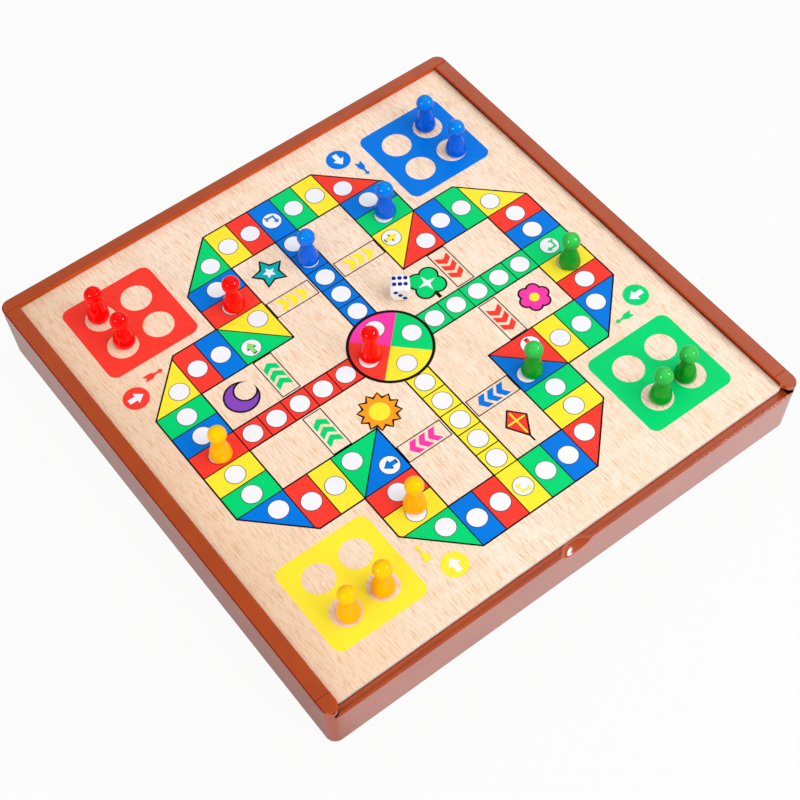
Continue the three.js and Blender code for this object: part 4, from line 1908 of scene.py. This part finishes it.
@dataclass
class OtherGames:
    """The other games' prints: a chequered field on the spare board, a mill game under the game board."""

    rows: int = 8
    square: float = 30 * MM
    line: float = 1 * MM
    mill_halves: tuple[float, float, float] = (38 * MM, 76 * MM, 114 * MM)
    spot: float = 3.2 * MM
    spot_sides: int = 32
    layer: float = 0.035 * MM

    def outline(self, half: float) -> Workpiece:
        """Models a square outline about the middle, as four strips that only touch.

        Args:
            half: From the middle to the line's middle.

        Returns:
            The outline.
        """
        line = self.line / 2
        side = Workpiece.sheet([-half - line, half - line], [half - line, half + line])
        side.join(*[side.copy(turn) for turn in quarter_turns()[1:]])
        return side

    def print_chequer(self) -> list[Stencil]:
        """Prints the dark squares of the draughts game with a line round them.

        Returns:
            Their one stencil.
        """
        half = self.rows * self.square / 2
        stencil = Stencil("print_chequer", Ink.BLACK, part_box("spare_board")[1].z, self.layer, [])
        tile = Workpiece.sheet([-half, -half], [self.square - half, self.square - half])
        places = [
            at(column * self.square, row * self.square)
            for row in range(self.rows)
            for column in range(self.rows)
            if (row + column) % 2 == 0
        ]
        stencil.spread(tile, places)
        stencil.shapes.append(self.outline(half + self.line * 2))
        return [stencil]

    def print_mill(self) -> list[Stencil]:
        """Prints three squares with crossing lines, and a spot at each of the twenty-four places.

        Returns:
            The lines' stencil and the spots' stencil.
        """
        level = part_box("game_board")[0].z
        outlines = [self.outline(half) for half in self.mill_halves]
        lines = Stencil("print_mill_lines", Ink.BLACK, level, self.layer, outlines)
        spots = Stencil("print_mill_spots", Ink.BLACK, level - self.layer, self.layer, [])
        line = self.line / 2
        start, end = self.mill_halves[0] + line, self.mill_halves[-1] - line
        lines.spread(Workpiece.sheet([-line, start], [line, end]), quarter_turns())
        corners = [at(half, half * share) for half in self.mill_halves for share in (0, 1)]
        spot = Workpiece.disc(self.spot, (0, 0), self.spot_sides)
        spots.spread(spot, [turn @ corner for turn in quarter_turns() for corner in corners])
        return [lines, spots]


# The boards


@dataclass
class Board:
    """The sliding game board with the race game on its face and a line game on its back."""

    corner: float = 4 * MM
    corner_steps: int = 8
    edge: float = 0.25 * MM
    edge_steps: int = 2
    under_edge: float = 0.9 * MM
    under_steps: int = 4
    veneer: BeechVeneer = BeechVeneer("beech")
    pressed: PressedEdge = PressedEdge("pressed_edge")

    def slab(self, node: str) -> Workpiece:
        """Models a board's slab in the place of a node.

        Args:
            node: The board's solid part.

        Returns:
            The slab.
        """
        low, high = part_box(node)
        slab = Workpiece.block(f"{node}_slab", low, high)
        slab.round_edges(upright, self.corner, self.corner_steps)
        slab.round_edges(lambda place, along: place.z > high.z - TINY, self.edge, self.edge_steps)
        slab.round_edges(lambda place, along: place.z < low.z + TINY, self.under_edge, self.under_steps)
        return slab

    def dress(self, inks: InkShelf) -> None:
        """Builds both boards with their prints.

        Args:
            inks: The inks' materials.
        """
        veneer, pressed = self.veneer.make(), self.pressed.make()
        for node, body in (("game_board", "board"), ("spare_board", "case")):
            slab = self.slab(node)
            slab.finish(veneer, pressed)
            slab.paint(lambda place, normal: abs(normal.z) < NEARLY, 1)
            slab.smooth()
            slab.place_in(body, "board", node)
        game = RaceGame()
        motifs = Motifs(game)
        stencils = [game.print_ground(), *game.print_cells(), *game.print_middle(), *game.print_discs()]
        stencils += [*game.print_bases(), *motifs.print_arrows(), *motifs.print_chevrons()]
        stencils += [*motifs.print_starts(), *Figures(game).print_figures()]
        for stencil in stencils:
            stencil.raise_layer(inks, "board")
        others = OtherGames()
        for stencil in others.print_chequer():
            stencil.raise_layer(inks, "case")
        for stencil in others.print_mill():
            stencil.raise_layer(inks, "board", facing=-1)


# The loose pieces


def set_out(pattern: Workpiece, plastic: bpy.types.Material, word: str, count: int, body: str = "") -> None:
    """Sets a copy of a turned piece on the foot of each of its nodes.

    Args:
        pattern: The turned piece.
        plastic: Its material.
        word: The slot's name, with which the nodes' names start.
        count: How many there are.
        body: The body that they all ride on, or nothing if each rides on its own.
    """
    for number in range(1, count + 1):
        node = f"{word}_{number}"
        low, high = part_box(node)
        place = Matrix.Translation(((low.x + high.x) / 2, (low.y + high.y) / 2, low.z))
        piece = pattern.copy(place, f"{node}_turned")
        piece.finish(plastic)
        piece.place_in(body or node, word, node)


@dataclass
class Pawns:
    """Sixteen turned pawns in four colours."""

    foot: float = 5.95 * MM
    foot_round: float = 1.3 * MM
    neck: float = 2.3 * MM
    head: float = 4.9 * MM
    neck_height: float = 13.4 * MM
    bell_power: float = 1.6
    bell_steps: int = 12
    head_steps: int = 16
    round_steps: int = 4
    sides: int = 40
    each: int = 4

    def outline(self, height: float) -> list[Point]:
        """Draws the pawn's outline from the middle of its foot to the top of its head.

        Args:
            height: The pawn's height.

        Returns:
            The outline's points.
        """
        points = [(0.0, 0.0)]
        for step in range(self.round_steps):
            angle = QUARTER * step / self.round_steps
            radius = self.foot - self.foot_round * (1 - math.sin(angle))
            points.append((radius, self.foot_round * (1 - math.cos(angle))))
        for step in range(self.bell_steps + 1):
            share = step / self.bell_steps
            radius = self.foot - (self.foot - self.neck) * share**self.bell_power
            points.append((radius, self.foot_round + (self.neck_height - self.foot_round) * share))
        centre = height - self.head
        start = math.asin(self.neck / self.head)
        for step in range(self.head_steps + 1):
            angle = start + (math.pi - start) * step / self.head_steps
            radius = 0.0 if step == self.head_steps else self.head * math.sin(angle)
            points.append((radius, centre - self.head * math.cos(angle)))
        return points

    def dress(self) -> None:
        """Turns one pawn and sets a copy in each place."""
        low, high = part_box("pawn_red_1")
        # Each pawn's head colour, then the darker body colour of its painted shade.
        finishes = (
            PawnPlastic("pawn_red", linear(252, 14, 10), linear(244, 0, 0), foot=low.z),
            PawnPlastic("pawn_blue", linear(0, 138, 236), linear(0, 92, 214), foot=low.z),
            PawnPlastic("pawn_green", linear(62, 206, 92), linear(4, 146, 30), foot=low.z),
            PawnPlastic("pawn_yellow", linear(255, 204, 0), linear(255, 170, 0), foot=low.z),
        )
        pattern = Workpiece.turned("pawn", self.outline(high.z - low.z), self.sides)
        pattern.smooth()
        for finish in finishes:
            set_out(pattern, finish.make(), finish.name, self.each)
        pattern.discard()


@dataclass
class Die:
    """The white die with its dimpled navy pips."""

    edge_round: float = 1.9 * MM
    edge_steps: int = 6
    corner_ball: float = 7.2 * MM
    corner_mesh: tuple[int, int] = (96, 64)
    pip_radius: float = 1.25 * MM
    pip_depth: float = 0.35 * MM
    pip_spacing: float = 3.1 * MM
    pip_row: float = 0.64
    pip_corner: float = 0.78
    pip_mesh: tuple[int, int] = (32, 48)
    pip_lid: float = 0.2 * MM
    turn: float = math.radians(-34.5)
    plastic: MouldedPlastic = MouldedPlastic(
        "die", linear(240, 240, 236), linear(232, 232, 228), roughness=0.2
    )
    paint: MouldedPlastic = MouldedPlastic(
        "die_pip", linear(14, 26, 160), linear(10, 18, 140), roughness=0.3, gloss=0.2
    )

    def patterns(self) -> list[tuple[list[Point], float, float]]:
        """Lists the faces.

        Returns:
            Each face's pips in steps of the spacing, and the turns about X and Y that bring them there.
        """
        far = self.pip_corner
        diagonal = [(-far, -far), (far, far)]
        square = [*diagonal, (-far, far), (far, -far)]
        rows = [(step, side * self.pip_row) for side in (-1, 1) for step in (-1, 0, 1)]
        return [
            (rows, 0, 0),
            ([(0, 0)], math.pi, 0),
            ([(-far, far), (0, 0), (far, -far)], QUARTER, 0),
            (square, -QUARTER, 0),
            (diagonal, 0, QUARTER),
            ([*square, (0, 0)], 0, -QUARTER),
        ]

    def dimples(self, half: float) -> Workpiece:
        """Models all the pips' cutters.

        Args:
            half: From the die's middle to a face.

        Returns:
            One mesh of separate bowls.
        """
        radius = (self.pip_radius**2 + self.pip_depth**2) / (2 * self.pip_depth)
        bowl = Workpiece.ball("bowl", (radius,) * 3, (0, 0, radius - self.pip_depth), *self.pip_mesh)
        bowl.bisect((0, 0, self.pip_lid), (0, 0, 1), fill=True)
        bowl.heal()
        bowls = []
        for spots, turn_x, turn_y in self.patterns():
            face = Matrix.Rotation(turn_y, 4, "Y") @ Matrix.Rotation(turn_x, 4, "X")
            for across, up in spots:
                spot = (across * self.pip_spacing, up * self.pip_spacing, half)
                bowls.append(bowl.copy(face @ Matrix.Translation(spot)))
        bowl.discard()
        first, *others = bowls
        first.join(*others)
        return first

    def dress(self) -> None:
        """Models the die and sets it in its place."""
        low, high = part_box("die")
        half = (high.z - low.z) / 2
        die = Workpiece.block("die_cube", (-half,) * 3, (half,) * 3)
        die.round_edges(everything, self.edge_round, self.edge_steps)
        corners = Workpiece.ball("corners", (self.corner_ball,) * 3, (0, 0, 0), *self.corner_mesh)
        die.combine(Combine.KEEP, corners)
        die.heal()
        body, pip = self.plastic.make(), self.paint.make()
        for normal in ((1, 0, 0), (0, 1, 0), (0, 0, 1)):
            die.bisect((0, 0, 0), normal, clear=False)
        cutter = self.dimples(half)
        cutter.finish(body, pip)
        cutter.paint(everything, 1)
        die.finish(body, pip)
        die.combine(Combine.CUT, cutter)
        die.put(Matrix.Translation((low + high) / 2) @ Matrix.Rotation(self.turn, 4, "Z"))
        die.heal()
        die.smooth()
        die.place_in("die", "die", "die")


@dataclass
class Draughts:
    """Twelve light and twelve dark draughtsmen, each turned with a dished face and a raised ring on it.

    The ring's foot and top are given as shares of the dish's radius, and its drop as a share of the dish.
    """

    edge: float = 0.8 * MM
    rim: float = 2.4 * MM
    dish: float = 0.7 * MM
    ring_foot: Point = (0.66, 0.49)
    ring_top: Point = (0.63, 0.52)
    ring_drop: float = 1 / 3
    round_steps: int = 3
    sides: int = 56
    each: int = 12
    light: MouldedPlastic = MouldedPlastic(
        "draught_light", linear(228, 202, 152), linear(214, 186, 134), roughness=0.3
    )
    dark: MouldedPlastic = MouldedPlastic(
        "draught_dark", linear(62, 40, 28), linear(48, 30, 21), roughness=0.3
    )

    def outline(self, radius: float, height: float) -> list[Point]:
        """Draws the draughtsman's outline from the middle of its foot to the middle of its face.

        Args:
            radius: Its radius.
            height: Its height.

        Returns:
            The outline's points.
        """
        points = [(0.0, 0.0), (radius - self.edge, 0.0)]
        for level, quarter in ((self.edge, -1), (height - self.edge, 0)):
            for step in range(self.round_steps + 1):
                angle = QUARTER * (quarter + step / self.round_steps)
                out = radius - self.edge + self.edge * math.cos(angle)
                points.append((out, level + self.edge * math.sin(angle)))
        floor, top = height - self.dish, height - self.dish * self.ring_drop
        inner = radius - self.rim
        points += [(inner, height), (inner - self.dish / 2, floor), (inner * self.ring_foot[0], floor)]
        points += [(inner * share, top) for share in self.ring_top]
        points += [(inner * self.ring_foot[1], floor), (0.0, floor)]
        return [point for place, point in enumerate(points) if not place or point != points[place - 1]]

    def dress(self) -> None:
        """Turns one draughtsman and sets a copy in each place."""
        low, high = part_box("draught_light_1")
        outline = self.outline((high.x - low.x) / 2, high.z - low.z)
        pattern = Workpiece.turned("draught", outline, self.sides)
        pattern.smooth()
        for finish in (self.light, self.dark):
            set_out(pattern, finish.make(), finish.name, self.each, "case")
        pattern.discard()


@dataclass
class Dividers:
    """The divider plates, which keep their solids' form."""

    names: tuple[str, ...] = ("front", "rear", "pawns_left", "pawns_middle", "pawns_right", "draughts")
    plastic: MouldedPlastic = MouldedPlastic(
        "divider", linear(150, 92, 56), linear(138, 82, 48), roughness=0.42
    )

    def dress(self) -> None:
        """Gives the plates their satin plastic."""
        plastic = self.plastic.make()
        for name in self.names:
            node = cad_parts[f"divider_{name}"]
            node.data.materials.clear()
            node.data.materials.append(plastic)
            LOG.info("%s keeps its solid", node.name)


# The studio


class LampPart(Enum):
    """What a lamp does for the picture."""

    LIGHT = "lights the surfaces"
    SPARKLE = "shows as a small bright spot in what is glossy"


@dataclass(frozen=True)
class Lamp:
    """A soft rectangular lamp that looks at the board, with its direction from there and its watts."""

    name: str
    part: LampPart
    direction: Point
    distance: float
    size: Point
    watts: float

    def hang(self) -> None:
        """Hangs the lamp."""
        place = Vector(self.direction).normalized() * self.distance
        turn = place.to_track_quat("Z", "Y").to_euler()
        put_down()
        bpy.ops.object.light_add(type="AREA", location=place, rotation=turn)
        lamp = bpy.context.object
        lamp.name = self.name
        lamp.data.shape = "RECTANGLE"
        lamp.data.size, lamp.data.size_y = self.size
        lamp.data.energy = self.watts
        lamp.visible_glossy = self.part is not LampPart.LIGHT
        lamp.visible_diffuse = self.part is not LampPart.SPARKLE


@dataclass
class Studio:
    """The camera, the pale floor and the light."""

    camera_place: Point = (-0.2946, -0.4222, 0.7503)
    camera_turn: Point = (33.8576, 1.3834, -37.3712)
    camera_near: float = 10 * MM
    lens: float = 76.86
    sensor: float = 36.0
    floor_size: float = 12.0
    floor_drop: float = 0.1 * MM
    floor_roughness: float = 0.9
    floor_show: float = 0.93
    floor_mirrored: float = 0.68
    floor_tone: float = 0.6
    floor_left: Point = (-152 * MM, -128 * MM)
    floor_along: Point = (-120 * MM, 160 * MM)
    floor_dim: Point = (0.34, 0.62)
    floor_across: Point = (-200 * MM, 160 * MM)
    floor_fade: float = 0.65
    flag: Point = (0.1, 0.45, 0.887)
    flag_edge: Point = (0.88, 0.995)
    room_bright: float = 0.94
    room_dark: float = 0.05
    horizon: float = 0.12
    horizon_rise: float = 0.55
    back_window: Point = (0.35, 0.48, 0.8)
    window_edge: Point = (0.8, 0.93)
    away_from_window: float = 0.07
    lamps: tuple[Lamp, ...] = (
        Lamp("window_softbox", LampPart.LIGHT, (0.36, -0.86, 0.36), 2, size=(0.8, 0.45), watts=12),
        Lamp("left_lamp", LampPart.LIGHT, (-0.925, -0.344, 0.145), 1, size=(0.3, 0.3), watts=4),
        Lamp("front_fill", LampPart.LIGHT, (0.5, -0.35, 0.8), 1, size=(0.8, 0.8), watts=3),
        Lamp("right_sparkle", LampPart.SPARKLE, (0.62, -0.52, 0.58), 1.5, size=(0.56, 0.32), watts=13),
        Lamp("left_sparkle", LampPart.SPARKLE, (-0.849, -0.059, 0.52), 1.5, size=(0.34, 0.34), watts=8),
    )

    def place_camera(self) -> None:
        """Puts the camera where the photograph was taken from."""
        put_down()
        turn = Euler([math.radians(value) for value in self.camera_turn])
        bpy.ops.object.camera_add(location=self.camera_place, rotation=turn)
        camera = bpy.context.object
        camera.data.lens = self.lens
        camera.data.sensor_width = self.sensor
        camera.data.clip_start = self.camera_near
        bpy.context.scene.camera = camera

    def lay_floor(self) -> None:
        """Lays the pale floor, which shows white, keeps the shadow, and is darker where it is mirrored."""
        put_down()
        bpy.ops.mesh.primitive_plane_add(size=self.floor_size, location=(0, 0, -self.floor_drop))
        floor = Workpiece.added("floor")
        recipe = Recipe("floor")
        recipe.set({
            "Base Color": (*[self.floor_tone] * 3, 1),
            "Roughness": self.floor_roughness,
            "Specular IOR Level": 0.0,
        })
        nodes, links = recipe.nodes, recipe.links
        beside = recipe.span(recipe.place("X"), *self.floor_left, 0, 1)
        dim = recipe.span(recipe.place("Y"), *self.floor_along, *self.floor_dim)
        fade = recipe.span(recipe.place("X"), *self.floor_across, self.floor_fade, 1)
        mirrored = recipe.reckon("MULTIPLY", recipe.reckon("MAXIMUM", beside, dim), fade)
        path = nodes.new("ShaderNodeLightPath").outputs
        glow = nodes.new("ShaderNodeEmission")
        links.new(recipe.reckon("MAXIMUM", path["Is Camera Ray"], mirrored), glow.inputs["Strength"])
        shown = recipe.span(path["Is Camera Ray"], 0, 1, 0, self.floor_show)
        glossy = recipe.span(path["Is Glossy Ray"], 0, 1, 0, self.floor_mirrored)
        mix = nodes.new("ShaderNodeMixShader")
        links.new(recipe.reckon("MAXIMUM", shown, glossy), mix.inputs["Fac"])
        links.new(recipe.shader.outputs["BSDF"], mix.inputs[1])
        links.new(glow.outputs["Emission"], mix.inputs[2])
        links.new(mix.outputs["Shader"], nodes["Material Output"].inputs["Surface"])
        floor.finish(recipe.material)

    def light_world(self) -> None:
        """Lights the room: bright above, dim at the horizon, with a dark flag over the back.

        The camera sees it white. In what is glossy it is dark, apart from a window at the back.
        """
        world = bpy.data.worlds.new("room")
        bpy.context.scene.world = world
        world.use_nodes = True
        wiring = Wiring(world.node_tree)
        nodes, links = wiring.nodes, wiring.links
        direction = nodes.new("ShaderNodeTexCoord").outputs["Generated"]
        path = nodes.new("ShaderNodeLightPath").outputs
        split = nodes.new("ShaderNodeSeparateXYZ")
        links.new(direction, split.inputs["Vector"])
        nearness = []
        for toward in (self.flag, self.back_window):
            dot = nodes.new("ShaderNodeVectorMath")
            dot.operation = "DOT_PRODUCT"
            dot.inputs[1].default_value = Vector(toward).normalized()
            links.new(direction, dot.inputs[0])
            nearness.append(dot.outputs["Value"])
        flagged = wiring.span(nearness[0], *self.flag_edge, self.room_bright, self.room_dark)
        height = wiring.span(split.outputs["Z"], 0, self.horizon_rise, self.horizon, 1)
        window = wiring.span(nearness[1], *self.window_edge, self.away_from_window, 1)
        mirrored = wiring.span(path["Is Glossy Ray"], 0, 1, 1, window)
        light = wiring.reckon("MULTIPLY", wiring.reckon("MULTIPLY", flagged, height), mirrored)
        shown = wiring.reckon("MAXIMUM", path["Is Camera Ray"], light)
        links.new(shown, nodes["Background"].inputs["Strength"])
        nodes["Background"].inputs["Color"].default_value = (1, 1, 1, 1)

    def set_up(self) -> None:
        """Sets up the studio."""
        self.place_camera()
        self.lay_floor()
        self.light_world()
        for lamp in self.lamps:
            lamp.hang()
            LOG.info("%s %s", lamp.name, lamp.part.value)
        bpy.context.scene.view_settings.view_transform = "Standard"


def main() -> None:
    """Builds the set piece by piece, then the studio round it."""
    logging.basicConfig(level=logging.INFO, format="%(name)s: %(message)s")
    inks = InkShelf()
    Case().dress()
    Board().dress(inks)
    Pawns().dress()
    Die().dress()
    Draughts().dress()
    Dividers().dress()
    Studio().set_up()


if __name__ == "__main__":
    main()
